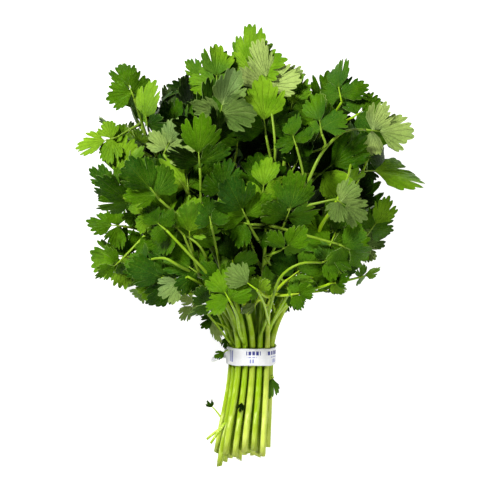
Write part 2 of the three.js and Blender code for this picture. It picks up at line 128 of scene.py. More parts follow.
TO_MIDDLE = Vector((2.1, 0.15, 0))
TAIL = {"at": Vector((-18.2, -78, 23)), "reach": Vector((-9, -4, -4))}
# Side shoots below the tie: the frame's, each moved a little along its stem and drawn longer or shorter.
SHOOTS = [
    {"stem": 11, "at": 0.5, "moved": -0.2, "reach": (-10, 13, 5), "share": 0.75, "looks": "withered"},
    {"stem": 5, "at": 0.22, "moved": 0.1, "reach": (-10, -7, 1), "share": 1.4, "looks": "cut"},
    {"stem": 17, "at": 0.3, "moved": 0.08, "reach": (-9, -12, 3), "share": 1.3, "looks": "cut"},
    {"stem": 22, "at": 0.78, "moved": 0.0, "reach": (4, -5, 4), "share": 0.5, "looks": "leaf"},
]

FITS = 0.12  # a pose is the frame's own if its points are this near the frame's solid, on average
APOTHEM = math.cos(math.pi / STEM["sides"])


# ---- Seeded draws and small helpers ---------------------------------------------------------------


def draw(*keys):
    """A number from 0 to 1 that depends only on the seed and on the whole numbers given."""
    bits = 0xFFFFFFFF
    value = SEED
    for key in keys:
        value = ((value ^ (key + 1)) * 2654435761) & bits
        value = ((value ^ (value >> 15)) * 2246822519) & bits
        value ^= value >> 13
    return value / (bits + 1)


def between(low, high, *keys):
    return low + (high - low) * draw(*keys)


def clamp(value, low, high):
    return max(low, min(high, value))


def lerp(low, high, share):
    return low + (high - low) * share


def turned(v, axis, degrees):
    return Quaternion(axis, math.radians(degrees)) @ v


def squared_to(v, axis):
    """v without its part along the unit vector axis, one unit long."""
    return (v - axis * v.dot(axis)).normalized()


def outward(p):
    """The way out of the head at a point."""
    away = p - HEAD_CENTRE
    return Vector(a / (r * r) for a, r in zip(away, HEAD_RADII)).normalized()


def bezier_point(curve, t):
    a, b, c, d = curve
    s = 1 - t
    return a * s**3 + b * (3 * s * s * t) + c * (3 * s * t * t) + d * t**3


def bezier_way(curve, t):
    a, b, c, d = curve
    s = 1 - t
    return ((b - a) * (s * s) + (c - b) * (2 * s * t) + (d - c) * (t * t)).normalized()


def finished(made, mesh):
    """Puts a bmesh into a mesh."""
    made.to_mesh(mesh)
    made.free()
    return mesh


def in_scene(name, data):
    made = bpy.data.objects.new(name, data)
    bpy.context.scene.collection.objects.link(made)
    return made


# ---- The frame's poses ----------------------------------------------------------------------------


def stem_plans():
    """Each stem's number, its place in the bundle and its tip."""
    plans = []
    for level, row in enumerate(TIPS):
        for place, tip in enumerate(row):
            plans.append({
                "number": len(plans),
                "tip": Vector(tip),
                "rests": tip[2] == 0,
                "across": (place - (len(row) - 1) / 2 + ROW_SHIFTS[level]) * PITCH,
                "rise": (level - (len(TIPS) - 1) / 2) * ROW_RISE,
            })
    return plans


def last_aim(tip, rests):
    """The way that a stem's last blade points."""
    low = clamp((LAST_AIM["high"] - tip.y) / (LAST_AIM["high"] - LAST_AIM["low"]), 0, 1)
    away = lerp(LAST_AIM["behind"], LAST_AIM["within"], low)
    start = Vector((LAST_AIM["aside"] * low * tip.x, away, lerp(TIE_AT.z, LAST_AIM["height"], low)))
    aim = (tip - start).normalized()
    if rests:
        return Vector((aim.x, aim.y, 0)).normalized()
    out = outward(tip)
    return (aim - out * (LAST_AIM["level"] * out.z * out.z * aim.dot(out))).normalized()


def stem_course(plan, attempt):
    """One course of a stem: a curve from its cut end to the tie, and one on to its last blade's foot."""
    number, across, rise, tip, rests = (plan[key] for key in ("number", "across", "rise", "tip", "rests"))
    in_tie = TIE_AT + Vector((across, 0, rise))
    spread = ENDS_AT + Vector((across * ENDS_SPREAD["across"], 0, rise * ENDS_SPREAD["rise"]))
    ragged = between(-ENDS_RAGGED, ENDS_RAGGED, number, KEY["ragged"]) - ENDS_SLANT * across
    end = spread + (spread - in_tie).normalized() * ragged
    full = clamp(((in_tie - tip).length - SIZE["from"]) / SIZE["over"], SIZE["least"], 1)
    size = full * between(*SIZE["varies"], number, KEY["size"])
    target = Vector((tip.x, tip.y, BLADE["thick"] / 2)) if rests else tip
    aim = last_aim(target, rests)
    foot = target - aim * (BLADE["last"] * size)
    if rests:
        foot.z = STEM["tip"] + STEM["clear"]
    reach = (in_tie - foot).length
    arrive = Vector((0, 1, BUNDLE_RISE)).normalized()
    leave = Vector((FANNING * across, 1, BUNDLE_RISE + FANNING * rise)).normalized()
    stray = attempt / STEM_TRIES * COURSE["stray"]

    def push(most, key):
        return Vector(between(-most, most, number, key + i, attempt) for i in range(3))

    lead = max(reach, COURSE["least_lead"]) * between(*COURSE["lead"], number, KEY["lead"], attempt)
    trail = max(reach, COURSE["least_trail"]) * between(*COURSE["trail"], number, KEY["trail"], attempt)
    lower = (
        end,
        end + (in_tie - end).normalized() * COURSE["straight"],
        in_tie - arrive * COURSE["straight"],
        in_tie,
    )
    upper = (
        in_tie,
        in_tie + leave * lead + push(COURSE["sway"] * stray, KEY["sway_push"]),
        foot - aim * trail + push(stray, KEY["stray_push"]),
        foot,
    )
    return {
        "lower": lower, "upper": upper, "aim": aim, "size": size, "target": target,
        "fork": 1 - min(FORK_TO_TIP * size, reach - LEAST_BARE) / reach,
        "girth": between(STEM["thin"], STEM["thick"], number, KEY["girth"]),
    }


def frond_face(plan):
    """The way that a stem's frond faces: out of the head and up, and turned a little about its stem."""
    out = outward(plan["target"])
    upright = squared_to(Vector((0, 0, FACING["up"])) + out * FACING["out"], plan["aim"])
    roll = lerp(FACING["rim_roll"], FACING["top_roll"], abs(out.z))
    return turned(upright, plan["aim"], between(-roll, roll, plan["number"], KEY["frond_roll"]))


def branch_course(plan, side, attempt):
    upper, size, frond = plan["upper"], plan["size"], plan["frond"]
    number = plan["number"]
    at = lerp(plan["fork"], 1, between(*BRANCHING["at"], number, side + KEY["at"], attempt))
    stem_way = bezier_way(upper, at)
    foot = bezier_point(upper, at)
    level = turned(stem_way, frond, side * between(*BRANCHING["yaw"], number, side + KEY["yaw"], attempt))
    roll = between(-BRANCHING["roll"], BRANCHING["roll"], number, side + KEY["roll"], attempt)
    heading = turned(level, stem_way, roll)
    varied = between(*BRANCHING["length"], number, side + KEY["branch"], attempt)
    length = BRANCH["length"] * size * varied
    middle = foot + heading * (length / 2)
    back = (upper[3] - foot).normalized() * (BRANCHING["turns_back"] * length)
    end = foot + heading * length + back
    return {"foot": foot, "middle": middle, "end": end, "aim": (end - middle).normalized()}


def blade_pose(foot, aim, length, frond, keys, attempt):
    """One pose of a blade. Its rib swings about the frond's face, and its own face turns outward."""
    loose = 1 + attempt / POSE["slack"]

    def angle(most, key):
        return between(-most, most, *keys, key, attempt) * loose

    def varied(name):
        return between(*POSE[name], *keys, KEY[name])

    level = turned(aim, frond, angle(POSE["swing"], KEY["swing"]))
    out = outward(foot + level * (length / 2))
    out_face = squared_to(frond * POSE["frond"] + out * POSE["out"], level)
    across = level.cross(out_face)
    pitch = angle(POSE["pitch"], KEY["pitch"])
    heading = turned(level, across, pitch)
    shrunk = 1 + POSE["shrink"] - POSE["shrink"] * loose
    sags = [between(*POSE["sag"], *keys, KEY[key]) for key in ("left_sag", "right_sag")]
    return {
        "foot": foot - heading * BLADE["sunk"],
        "aim": heading,
        "face": turned(turned(out_face, across, pitch), heading, angle(POSE["turn"], KEY["turn"])),
        "length": length * between(*POSE["length"], *keys, KEY["length"], attempt) * shrunk,
        "width": varied("width"),
        "fold": varied("fold"),
        "droop": varied("droop"),
        "sag": sags,
    }


def resting_blade(plan):
    """The last blade of a stem whose tip lies on the surface."""
    back = plan["upper"][3] - plan["aim"] * BLADE["sunk"]
    return {
        "foot": Vector((back.x, back.y, BLADE["thick"] / 2)), "aim": plan["aim"], "face": UP.copy(),
        "length": BLADE["last"] * plan["size"], "width": 1, "fold": 0, "droop": 0, "sag": [0, 0],
    }


def on_blade(blade, x, y, z=0.0):
    """The point of a bent blade at a share x of its length to the right and y along its rib."""
    right = blade["aim"].cross(blade["face"])
    bend = blade["fold"] * abs(x) - blade["droop"] * y * y - blade["sag"][0 if x < 0 else 1] * x * x
    length = blade["length"]
    lift = length * bend + z * BLADE["thick"]
    aside = right * (x * blade["width"] * length)
    return blade["foot"] + blade["aim"] * (y * length) + aside + blade["face"] * lift


# ---- Setting the poses against the frame ----------------------------------------------------------


def node_name(number):
    return f"leafy_stem_{number + 1:02d}"


def solid_of(name):
    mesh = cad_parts[name].data
    points = [v.co / MM - TO_MIDDLE for v in mesh.vertices]
    return BVHTree.FromPolygons(points, [tuple(p.vertices) for p in mesh.polygons])


def stem_misfit(solid, course):
    """How far a course is from the axis of the frame's stem, by the depth at which it runs."""
    fork = course["fork"]
    stops = [(share * fork, lerp(STEM["tie"], STEM["fork"], share)) for share in (0.35, 0.7, 1)]
    stops.append((lerp(fork, 1, 0.5), lerp(STEM["fork"], STEM["tip"], STEM["past_fork"])))
    misfits = []
    for at, radius in stops:
        depth = solid.find_nearest(bezier_point(course["upper"], at))[3]
        misfits.append(abs(depth - radius * course["girth"] * APOTHEM))
    return sum(misfits) / len(misfits)


# Spots of a blade's upper face, on its outline. They lie on the frame's blade if the two are the same.
RIGHT_MARKS = [(0.22, 0.88), (0.36, 0.75), (0.34, 0.55)]
BLADE_MARKS = [(0, 1)] + [(side * x, y) for x, y in RIGHT_MARKS for side in (1, -1)]
UPPER_FACE = 0.5


def blade_misfit(solid, blade):
    marks = [on_blade(blade, x, y, UPPER_FACE) for x, y in BLADE_MARKS]
    return sum(solid.find_nearest(mark)[3] for mark in marks) / len(marks)


def best(tries, pose_of, misfit_of):
    """The pose that fits best, and how well it fits."""
    found, least = None, math.inf
    for attempt in range(tries):
        pose = pose_of(attempt)
        misfit = misfit_of(pose)
        if misfit < least:
            found, least = pose, misfit
    return found, least


def spray_pose(plan, side, attempt):
    branch = branch_course(plan, side, attempt // TRIES_PER_BRANCH)
    keys = (plan["number"], side + KEY["spray"])
    length = BLADE["spray"] * plan["size"]
    blade = blade_pose(branch["end"], branch["aim"], length, plan["frond"], keys, attempt)
    return {"branch": branch, "blade": blade}


def find_limbs(plan):
    """Adds to a plan the course, the blades and the branches that the frame's stem has."""
    solid = solid_of(node_name(plan["number"]))
    course, misfit = best(STEM_TRIES, lambda k: stem_course(plan, k), lambda c: stem_misfit(solid, c))
    plan.update(course)
    plan["frond"] = frond_face(plan)
    if plan["rests"]:
        plan["blade"] = resting_blade(plan)
    else:
        length = BLADE["last"] * plan["size"]
        keys = (plan["number"], KEY["last"])
        plan["blade"], misfit = best(
            BLADE_TRIES,
            lambda k: blade_pose(plan["upper"][3], plan["aim"], length, plan["frond"], keys, k),
            lambda blade: blade_misfit(solid, blade),
        )
    plan["sprays"] = []
    for side in (-1, 1):
        spray, misfit = best(
            BLADE_TRIES,
            lambda k: spray_pose(plan, side, k),
            lambda pose: blade_misfit(solid, pose["blade"]),
        )
        if misfit < FITS:
            plan["sprays"].append(spray)


plans = stem_plans()
for plan in plans:
    find_limbs(plan)

# ---- The leaflet -----------------------------------------------------------------------------------

# A leaflet is a fan: rays run from its foot to the tips of its teeth, and rings of points cross them.
RAYS = 10
RINGS = 4
CUTS = 3  # points between two rays, on the toothed edge
RING_REACH = (0, 0.34, 0.64, 0.9, 1)  # how far out each ring is, as a share of the way to the notches
MIDDLE_RAY = RAYS / 2

LEAF_THICK = 0.32
LEAST_HEIGHT = 0.8  # no point of a leaflet is nearer the floor


def fan_mesh():
    """The fan as a flat mesh: x is the ray, from -1 to 1, and y the ring, from -1 to 1."""
    fan = bmesh.new()
    fan.loops.layers.uv.new("fan")
    bmesh.ops.create_grid(fan, x_segments=RAYS, y_segments=RINGS, size=1, calc_uvs=True)
    edge = [e for e in fan.edges if all(v.co.y > 0.99 for v in e.verts)]
    bmesh.ops.subdivide_edges(fan, edges=edge, cuts=CUTS)
    foot = [v for v in fan.verts if v.co.y < -0.99]
    bmesh.ops.pointmerge(fan, verts=foot, merge_co=(0, -1, 0))
    for e in fan.edges:
        e.smooth = not e.is_boundary
    for f in fan.faces:
        f.smooth = True
    return finished(fan, bpy.data.meshes.new("fan"))


FAN = fan_mesh()
FAN_AT = np.array([v.co for v in FAN.vertices])
FAN_ACROSS = FAN_AT[:, 0]
FAN_RING = (FAN_AT[:, 1] + 1) / 2
FAN_REACH = np.interp(FAN_RING, np.linspace(0, 1, RINGS + 1), RING_REACH)
FAN_RAY = (FAN_ACROSS + 1) * RAYS / 2
FAN_FACES = [tuple(p.vertices) for p in FAN.polygons]
ON_EDGE = FAN_RING > 0.999
ON_LEFT = FAN_ACROSS < 0
NOTCH = 2 * np.abs(FAN_RAY - np.round(FAN_RAY))  # 0 at the tip of a tooth, 1 between two teeth

# How leaflets vary: half the fan's angle in degrees, how far out its two sides reach, the depth of its teeth
# and of the clefts beside its middle lobe, how many rays from the middle the clefts are and how wide, how far
# the rays of a lobe are drawn together towards the foot, and how much each lobe comes to a point.
SHAPE = {
    "spread": (50, 66), "sides": (0.36, 0.5), "teeth": (0.09, 0.15), "cleft": (0.12, 0.4),
    "cleft_at": (1.5, 2.5), "near_clefts": 0.55, "cleft_wide": 0.35, "pinch": 0.35, "lean": (-0.12, 0.12),
    "phase": (0, 6.28), "tips": 0.04, "tips_wave": 2.3, "lobes": (0.015, 0.04), "round": 0.8, "tooth": 2.2,
}


def flat_leaflet(keys):
    """A leaflet one unit long, flat: its points' distances to the right and along its rib."""

    def varied(name, half=0):
        return between(*SHAPE[name], *keys, OWN_KEY[name] + half)

    def halves(name):
        """One draw for the left half, and one for the right half."""
        return varied(name), varied(name, 1)

    def on(pair, ray):
        return np.where(ray < MIDDLE_RAY, *pair)

    owns = [draw(*keys, OWN_KEY["cleft_at"] + half) for half in (0, 1)]
    cleft_at = [SHAPE["cleft_at"][0 if own < SHAPE["near_clefts"] else 1] for own in owns]
    cleft, sides = halves("cleft"), halves("sides")
    teeth, lean, phase, lobes = (varied(name) for name in ("teeth", "lean", "phase", "lobes"))
    spread = math.radians(varied("spread"))

    def edge_at(ray, notch):
        """How far out the edge is at a ray. The notch is 0 at the tip of a tooth and 1 between two teeth."""
        off_middle = np.abs(ray - MIDDLE_RAY)
        at, side = on(cleft_at, ray), on(sides, ray)
        off_apex = np.minimum(off_middle, np.abs(off_middle - (at + MIDDLE_RAY) / 2))
        whole = side + (1 - side) * np.cos(off_middle / MIDDLE_RAY * math.pi / 2) ** SHAPE["round"]
        uneven = 1 + SHAPE["tips"] * np.sin(SHAPE["tips_wave"] * ray + phase)
        deep = on(cleft, ray) * np.exp(-(((off_middle - at) / SHAPE["cleft_wide"]) ** 2)) * notch
        return whole * uneven * (1 - lobes * off_apex**2) * (1 - teeth * notch ** SHAPE["tooth"] - deep)

    # The rings inside the edge stay below the deeper of the two notches beside each ray.
    notches = edge_at(np.arange(RAYS) + 0.5, 1)
    notches = np.concatenate((notches[:1], notches, notches[-1:]))
    deeper = np.minimum(notches[:-1], notches[1:])[np.rint(FAN_RAY).astype(int)]
    out = np.where(ON_EDGE, edge_at(FAN_RAY, NOTCH), deeper * FAN_REACH)

    at = on(cleft_at, FAN_RAY)
    side_lobe = np.sign(FAN_ACROSS) * (at + MIDDLE_RAY) / (2 * MIDDLE_RAY)
    lobe = np.where(np.abs(FAN_RAY - MIDDLE_RAY) < at, 0, side_lobe)
    drawn = FAN_ACROSS + SHAPE["pinch"] * (lobe - FAN_ACROSS) * (1 - FAN_REACH)
    angle = spread * drawn + lean * FAN_REACH * FAN_ACROSS**2
    return out * np.sin(angle), out * np.cos(angle)


def not_nought(value):
    return np.where(np.abs(value) < 1e-3, 1e-3, value)


def bent_leaflet(flat, bend):
    """A flat leaflet folded along its rib, rolled to both sides, rippled, twisted and curved."""
    across, along = flat
    fold = np.where(ON_LEFT, bend["fold"][0], bend["fold"][1])
    roll = not_nought(np.where(ON_LEFT, bend["roll"][0], bend["roll"][1]))
    ends = fold + roll * np.abs(across)
    side = np.sign(across) * (np.sin(ends) - np.sin(fold)) / roll
    up = (np.cos(fold) - np.cos(ends)) / roll
    ripple = np.sin(RIPPLE["wave"] * FAN_RAY + bend["phase"])
    up = up + bend["ripple"] * (across**2 + RIPPLE["along"] * along**2) * ripple
    twist = bend["twist"] * along
    side, up = side * np.cos(twist) - up * np.sin(twist), side * np.sin(twist) + up * np.cos(twist)
    curve = not_nought(bend["curve"])
    turn = curve * along
    forward = np.sin(turn) / curve + up * np.sin(turn)
    height = (np.cos(turn) - 1) / curve + up * np.cos(turn)
    return side, forward, height


def leaflet_points(leaflet):
    """Where a leaflet's points lie."""
    side, forward, height = bent_leaflet(flat_leaflet(leaflet["keys"]), leaflet["bend"])
    aim = leaflet["aim"]
    face = squared_to(leaflet["face"], aim)
    right = aim.cross(face)
    length = leaflet["length"]
    points = (
        np.array(leaflet["foot"])
        + np.outer(side * leaflet["width"] * length, right)
        + np.outer(forward * length, aim)
        + np.outer(height * length, face)
    )
    points[:, 2] = np.maximum(points[:, 2], LEAST_HEIGHT)
    return points


BEND = {
    "fold": (-0.15, 0.5), "roll": (-1.9, 0.5), "ripple": (0.03, 0.16), "twist": (-0.6, 0.6),
    "curve": (-0.3, 1.0),
}
RIPPLE = {"along": 0.5, "wave": 0.9}


def bend_of(keys, curl=1.0, curve=0.0, fold=0.0):
    """How a leaflet is bent: seeded differences round what its place gives it."""

    def varied(name, side=""):
        return curl * between(*BEND[name], *keys, OWN_KEY[side + name])

    return {
        "fold": [fold + varied("fold", side) for side in ("left_", "right_")],
        "roll": [varied("roll", side) for side in ("left_", "right_")],
        "ripple": varied("ripple"),
        "phase": between(*SHAPE["phase"], *keys, OWN_KEY["ripple_phase"]),
        "twist": varied("twist"),
        "curve": curve + varied("curve"),
    }


# Where the three leaflets of a leaf grow on its rib, as shares of the leaf's length, how long they are, and
# how much of the blade's own bend they take.
END_LEAFLET = {
    "foot": 0.3, "length": 0.74, "turn": (-10, 10), "width": (0.9, 1.15), "droop": 0.5, "fold": 0.6,
    "rib_past": 0.03,
}
SIDE_LEAFLET = {
    "foot": 0.13, "toward": (0.62, 0.24), "length": 0.64, "varies": (0.88, 1.12), "turn": (-8, 14),
    "width": (0.88, 1.15), "sag": 0.6,
}


def blade_normal(blade, x, y, step=0.1):
    """The way that a bent blade faces at a point of it."""
    across = on_blade(blade, x + step, y) - on_blade(blade, x - step, y)
    along = on_blade(blade, x, y + step) - on_blade(blade, x, y - step)
    return across.cross(along).normalized()


def leaf_on(blade, keys, curl=1.0):
    """The three leaflets of a leaf that follows a blade, and the leaf's rib."""
    length = blade["length"]
    foot = on_blade(blade, 0, END_LEAFLET["foot"])
    aim = (on_blade(blade, 0, 1) - foot).normalized()
    own = (*keys, 1)
    droop, fold = (END_LEAFLET[name] * blade[name] for name in ("droop", "fold"))
    leaflets = [{
        "foot": foot,
        "aim": turned(aim, blade["face"], between(*END_LEAFLET["turn"], *own, OWN_KEY["leaflet_turn"])),
        "face": blade["face"],
        "length": length * END_LEAFLET["length"],
        "width": between(*END_LEAFLET["width"], *own, OWN_KEY["leaflet_width"]),
        "bend": bend_of(own, curl, droop, fold),
        "keys": own,
    }]
    x, y = SIDE_LEAFLET["toward"]
    foot = on_blade(blade, 0, SIDE_LEAFLET["foot"])
    for side in (-1, 1):
        own = (*keys, side + 3)
        turn = between(*SIDE_LEAFLET["turn"], *own, OWN_KEY["leaflet_turn"])
        size = between(*SIDE_LEAFLET["varies"], *own, OWN_KEY["leaflet_length"])
        aim = (on_blade(blade, side * x, y) - foot).normalized()
        face = squared_to(blade_normal(blade, side * x / 2, y), aim)
        leaflets.append({
            "foot": foot,
            "aim": turned(aim, face, side * turn),
            "face": face,
            "length": length * SIDE_LEAFLET["length"] * size,
            "width": between(*SIDE_LEAFLET["width"], *own, OWN_KEY["leaflet_width"]),
            "bend": bend_of(own, curl, SIDE_LEAFLET["sag"] * blade["sag"][0 if side < 0 else 1]),
            "keys": own,
        })
    return leaflets, [blade["foot"], foot, on_blade(blade, 0, END_LEAFLET["foot"] + END_LEAFLET["rib_past"])]


# ---- Filling the head ------------------------------------------------------------------------------

# Leaves that stand out. Each row is where the leaf starts and ends, how bright it is from 0 to 1, its breadth
# and whether it shows its underside or has one leaflet alone. If its stalk shows, the stalk's radius and the
# spots that it passes follow.
STANDING_OUT = [
    ((-84, 107, 62), (-96, 136, 58), 0.45),
    ((-96, 79, 64), (-126, 71, 60), 0.8, 1.1),
    ((-96, 42, 60), (-118, 54, 56), 0.5),
    ((-92, 15, 62), (-119, 17, 58), 0.55),
    ((-93, -9, 60), (-110, -24, 54), 0.5),
    ((-64, -22, 66), (-76, -40, 60), 0.55),
    ((-40, -38, 50), (-50, -53, 46), 0.6, 1, "under", 0.9, (-26, -55, 40), (-18, -66, 34)),
    ((70, 54, 76), (131, 57, 68), 0.8, 0.7, "alone"),
    ((82, 84, 80), (116, 80, 74), 0.75, 1.15, "under", 1.3,
     (66, 82, 96), (51, 68, 106), (41, 48, 106), (34, 28, 92)),
    ((73, 93, 74), (95, 108, 70), 0.5),
    ((65, 104, 72), (58, 137, 66), 0.5),
    ((0, 122, 84), (-4, 160, 76), 0.75, 1.1),
    ((12, 110, 90), (8, 148, 82), 0.75, 0.8, "under", 1.0, (15, 92, 104), (17, 72, 108), (17, 54, 98)),
    ((15, 111, 90), (36, 128, 84), 0.6, 0.85, "under"),
    ((-24, 112, 88), (-26, 145, 80), 0.8, 1.1),
    ((-33, 117, 80), (-47, 134, 74), 0.8),
    ((4, -30, 112), (-17, -15, 106), 0.25, 1.25, "under alone", 0.9, (9, -40, 96), (12, -52, 64)),
    ((-14, -40, 96), (-28, -15, 92), 0.7, 1.2, "", 1.5, (-10, -50, 78), (-8, -62, 56)),
    ((-46, 8, 110), (-44, 38, 110), 0.75, 1, "", 1.0, (-36, 0, 104), (-28, -17, 86)),
    ((-48, 9, 106), (-80, 41, 98), 0.65),
    ((-60, 12, 108), (-78, 26, 100), 0.4, 1, "", 1.7, (-43, -6, 110), (-30, -21, 96), (-21, -42, 58)),
    ((-28, 15, 112), (-32, 36, 108), 0.35, 1, "", 0.8, (-25, 0, 106), (-22, -16, 90)),
    ((-73, -9, 94), (-92, -13, 86), 0.45, 1, "", 1.2, (-61, -8, 106), (-50, -14, 103), (-32, -23, 80)),
    ((-45, -21, 98), (-66, -32, 92), 0.65, 1.25, "under alone", 1.4, (-37, -26, 92), (-27, -35, 70)),
    ((50, -11, 96), (74, -3, 90), 0.6, 1, "", 1.1, (34, -12, 104), (20, -23, 96), (12, -50, 60)),
    ((37, -20, 92), (60, -26, 84), 0.5, 1, "", 1.5, (29, -30, 88), (20, -45, 62)),
    ((7, -38, 74), (-7, -47, 68), 0.5, 0.7, "under alone", 0.6, (11, -42, 68)),
    ((8, 34, 120), (10, 65, 116), 0.8),
    ((50, 80, 110), (45, 110, 102), 0.65, 1, "", 0.9, (51, 70, 106)),
    ((32, 71, 112), (24, 95, 106), 0.4, 1, "", 1.1, (36, 56, 110), (38, 42, 106), (38, 26, 92)),
    ((72, 64, 98), (74, 90, 94), 0.4, 1, "", 1.6, (68, 48, 108), (58, 28, 108), (48, 10, 86)),
    ((26, -28, 80), (34, -46, 68), 0.45),
    ((62, 2, 92), (88, -10, 80), 0.6),
    ((-62, 66, 104), (-50, 92, 98), 0.5, 1, "under"),
    ((60, 34, 104), (82, 18, 96), 0.4, 1, "under"),
    ((-70, 20, 96), (-92, 34, 86), 0.8),
    ((8, 14, 114), (32, 8, 110), 0.25),
    ((0, 16, 118), (-29, 23, 114), 0.3),
    ((-20, -46, 24), (-36, -60, 20), 0.5, 1, "", 0.9, (-12, -60, 24)),
    ((-18, -56, 40), (-27, -43, 40), 0.65, 0.9, "", 0.9, (-14, -66, 34)),
    # Leaves lying flat on the floor under the others, with a low tone that is painted shade.
    ((-8, -26, 3), (-17, -50, 2), 0.1),
    ((6, -24, 3), (4, -52, 2), 0.1),
    ((20, -26, 3), (26, -48, 2), 0.1),
    ((50, -8, 3), (62, 22, 2), 0.1),
    ((-2, 46, 3), (-16, 74, 2), 0.1),
    ((4, -10, 3), (-2, 16, 2), 0.1),
]
LIFTS = (0, 4, -4, 8, -8, 12, -12, 17)  # how far a leaf that stands out may be moved up or down
FLAT_BELOW = 6  # a leaf that starts lower than this lies flat on the floor
STANDING = {
    "outward": 0.3, "turn": (-26, 26), "bend": 0.1, "sag": 0.25, "curl": 0.8, "flat_curl": 0.1, "back": 26,
    "dip": 1, "thin": 0.95, "stalk_steps": 4, "stalk_past": 0.8,
}

FILL = {
    "rounds": 9, "tries": 30, "branch": (12, 34), "leaf": (42, 26), "varies": (0.85, 1.1), "yaw": (20, 85),
    "at": (-0.35, 0.98), "kept_to": (0.25, 0.98), "aside": (-150, 150), "along": 0.95, "turns_back": 0.15,
    "upright": 0.5, "turn": (-50, 50), "fold": (-0.1, 0.3), "droop": (0, 0.35), "sag": (-0.1, 0.7),
    "turned_over": 0.24, "curl": 1.1, "thin": 0.8,
}
BRANCH_MIDDLE = 0.55  # how far along a branch to a placed leaf its middle is
STEM_FROM = 0.05  # branches to placed leaves start this far along a stem's upper curve, or further
STEM_STOPS = 12
HEAD_LIMIT = {"left": 101, "right": 92, "up": 87, "down": 80, "low": 4, "high": 124}
# In front of the bare stems there are no filling leaves: they lie behind them there.
NECK = {"left": -24, "right": 36, "top": -13, "behind": 20}

# Leaves low in the head, under the others: one for each spot of a grid where there is room. They have the
# lowest tone, painted shade where they lie under the others.
GROUND = {
    "step": 19, "reach": (86, 74), "heights": (2.5, 34), "shift": (-9, 9), "fans_from": -70, "yaw": (-70, 70),
    "pitch": (-0.1, 0.3), "length": (24, 36), "turn": (-14, 14), "bend": 0.1, "tries": 9, "tone": 0.0,
    "curl": 0.5, "back": 16, "thin": 0.8,
}

taken = []  # the leaflets and stalks placed so far, each with its box and its surface


def surface_of(points, faces=FAN_FACES):
    corners = np.array(points)
    tree = BVHTree.FromPolygons(corners.tolist(), faces)
    return {"low": corners.min(axis=0), "high": corners.max(axis=0), "tree": tree}


def stalk_surface(path, radius):
    """A stalk's surface, roughly: three sides."""
    points = []
    for i, at in enumerate(path):
        way = (path[min(i + 1, len(path) - 1)] - path[max(i - 1, 0)]).normalized()
        first = squared_to(UP, way)
        points += [at + turned(first, way, angle) * radius for angle in (0, 120, 240)]
    sides = [
        (3 * i + j, 3 * i + (j + 1) % 3, 3 * i + 3 + (j + 1) % 3, 3 * i + 3 + j)
        for i in range(len(path) - 1)
        for j in range(3)
    ]
    return surface_of(points, sides)


def meets(surface, others):
    for other in others:
        if (surface["low"] > other["high"]).any() or (surface["high"] < other["low"]).any():
            continue
        if surface["tree"].overlap(other["tree"]):
            return True
    return False


def in_head(points):
    """Whether points lie within the head's outline, above the floor and under its top, and off its neck."""
    x, y, z = points[:, 0], points[:, 1] - HEAD_CENTRE.y, points[:, 2]
    wide = np.where(x > 0, HEAD_LIMIT["right"], HEAD_LIMIT["left"])
    deep = np.where(y > 0, HEAD_LIMIT["up"], HEAD_LIMIT["down"])
    inside = (x / wide) ** 2 + (y / deep) ** 2
    on_neck = (x > NECK["left"]) & (x < NECK["right"]) & (points[:, 1] < NECK["top"]) & (z > NECK["behind"])
    in_height = z.min() > HEAD_LIMIT["low"] and z.max() < HEAD_LIMIT["high"]
    return inside.max() < 1 and in_height and not on_neck.any()


def turn_over(leaflets):
    for leaflet in leaflets:
        leaflet["face"] = -leaflet["face"]


def leaf_pose(blade, leaflets, rib, tone=None):
    """One pose of a leaf, with its leaflets' points."""
    if tone is not None:
        for leaflet in leaflets:
            leaflet["tone"] = tone
    points = [leaflet_points(leaflet) for leaflet in leaflets]
    return {"blade": blade, "leaflets": leaflets, "rib": rib, "points": points}


def take_clearest(poses, most=0):
    """Takes the first pose that is clear of all leaflets. Failing that, it takes the pose with the fewest
    leaflets that meet others, unless that is more than the most allowed."""
    found, least = None, most + 1
    for pose in poses:
        surfaces = [surface_of(points) for points in pose["points"]]
        clashes = 0
        for surface in surfaces:
            clashes += meets(surface, taken)
            if clashes == least:
                break
        if clashes < least:
            found, kept, least = pose, surfaces, clashes
        if not clashes:
            break
    if found:
        taken.extend(kept)
    return found


def place(plan, pose, *limbs):
    """Takes a leaf and its limbs into a plan."""
    plan["limbs"].extend(limbs)
    plan["leaflets"].extend(pose["leaflets"])
    plan["points"].extend(pose["points"])


def filling_leaf(plan, keys, share):
    """A small branch with a leaf, on a stem: one seeded pose of it. Leaves are smaller as share goes to 1."""

    def varied(name, key=None):
        return between(*FILL[name], *keys, OWN_KEY[key or name])

    at = clamp(lerp(plan["fork"], 1, varied("at")), *FILL["kept_to"])
    stem_way = bezier_way(plan["upper"], at)
    foot = bezier_point(plan["upper"], at)
    out = outward(foot)
    first = squared_to(out if abs(out.dot(stem_way)) < FILL["along"] else UP, stem_way)
    aside = turned(first, stem_way, varied("aside"))
    yaw = math.radians(varied("yaw"))
    heading = stem_way * math.cos(yaw) + aside * math.sin(yaw)
    length = varied("branch")
    middle = foot + heading * (length / 2)
    end = foot + heading * length + stem_way * (FILL["turns_back"] * length)
    aim = (end - middle).normalized()
    leaf_length = lerp(*FILL["leaf"], share) * varied("varies")
    face = squared_to(outward(end + aim * leaf_length) + UP * FILL["upright"], aim)
    blade = {
        "foot": end, "aim": aim, "face": turned(face, aim, varied("turn")), "length": leaf_length, "width": 1,
        "fold": varied("fold"), "droop": varied("droop"),
        "sag": [varied("sag", "left_sag"), varied("sag", "right_sag")],
    }
    leaflets, rib = leaf_on(blade, keys, FILL["curl"])
    if draw(*keys, OWN_KEY["turned_over"]) < FILL["turned_over"]:
        turn_over(leaflets)
    return {**leaf_pose(blade, leaflets, rib), "branch": {"foot": foot, "middle": middle, "end": end}}


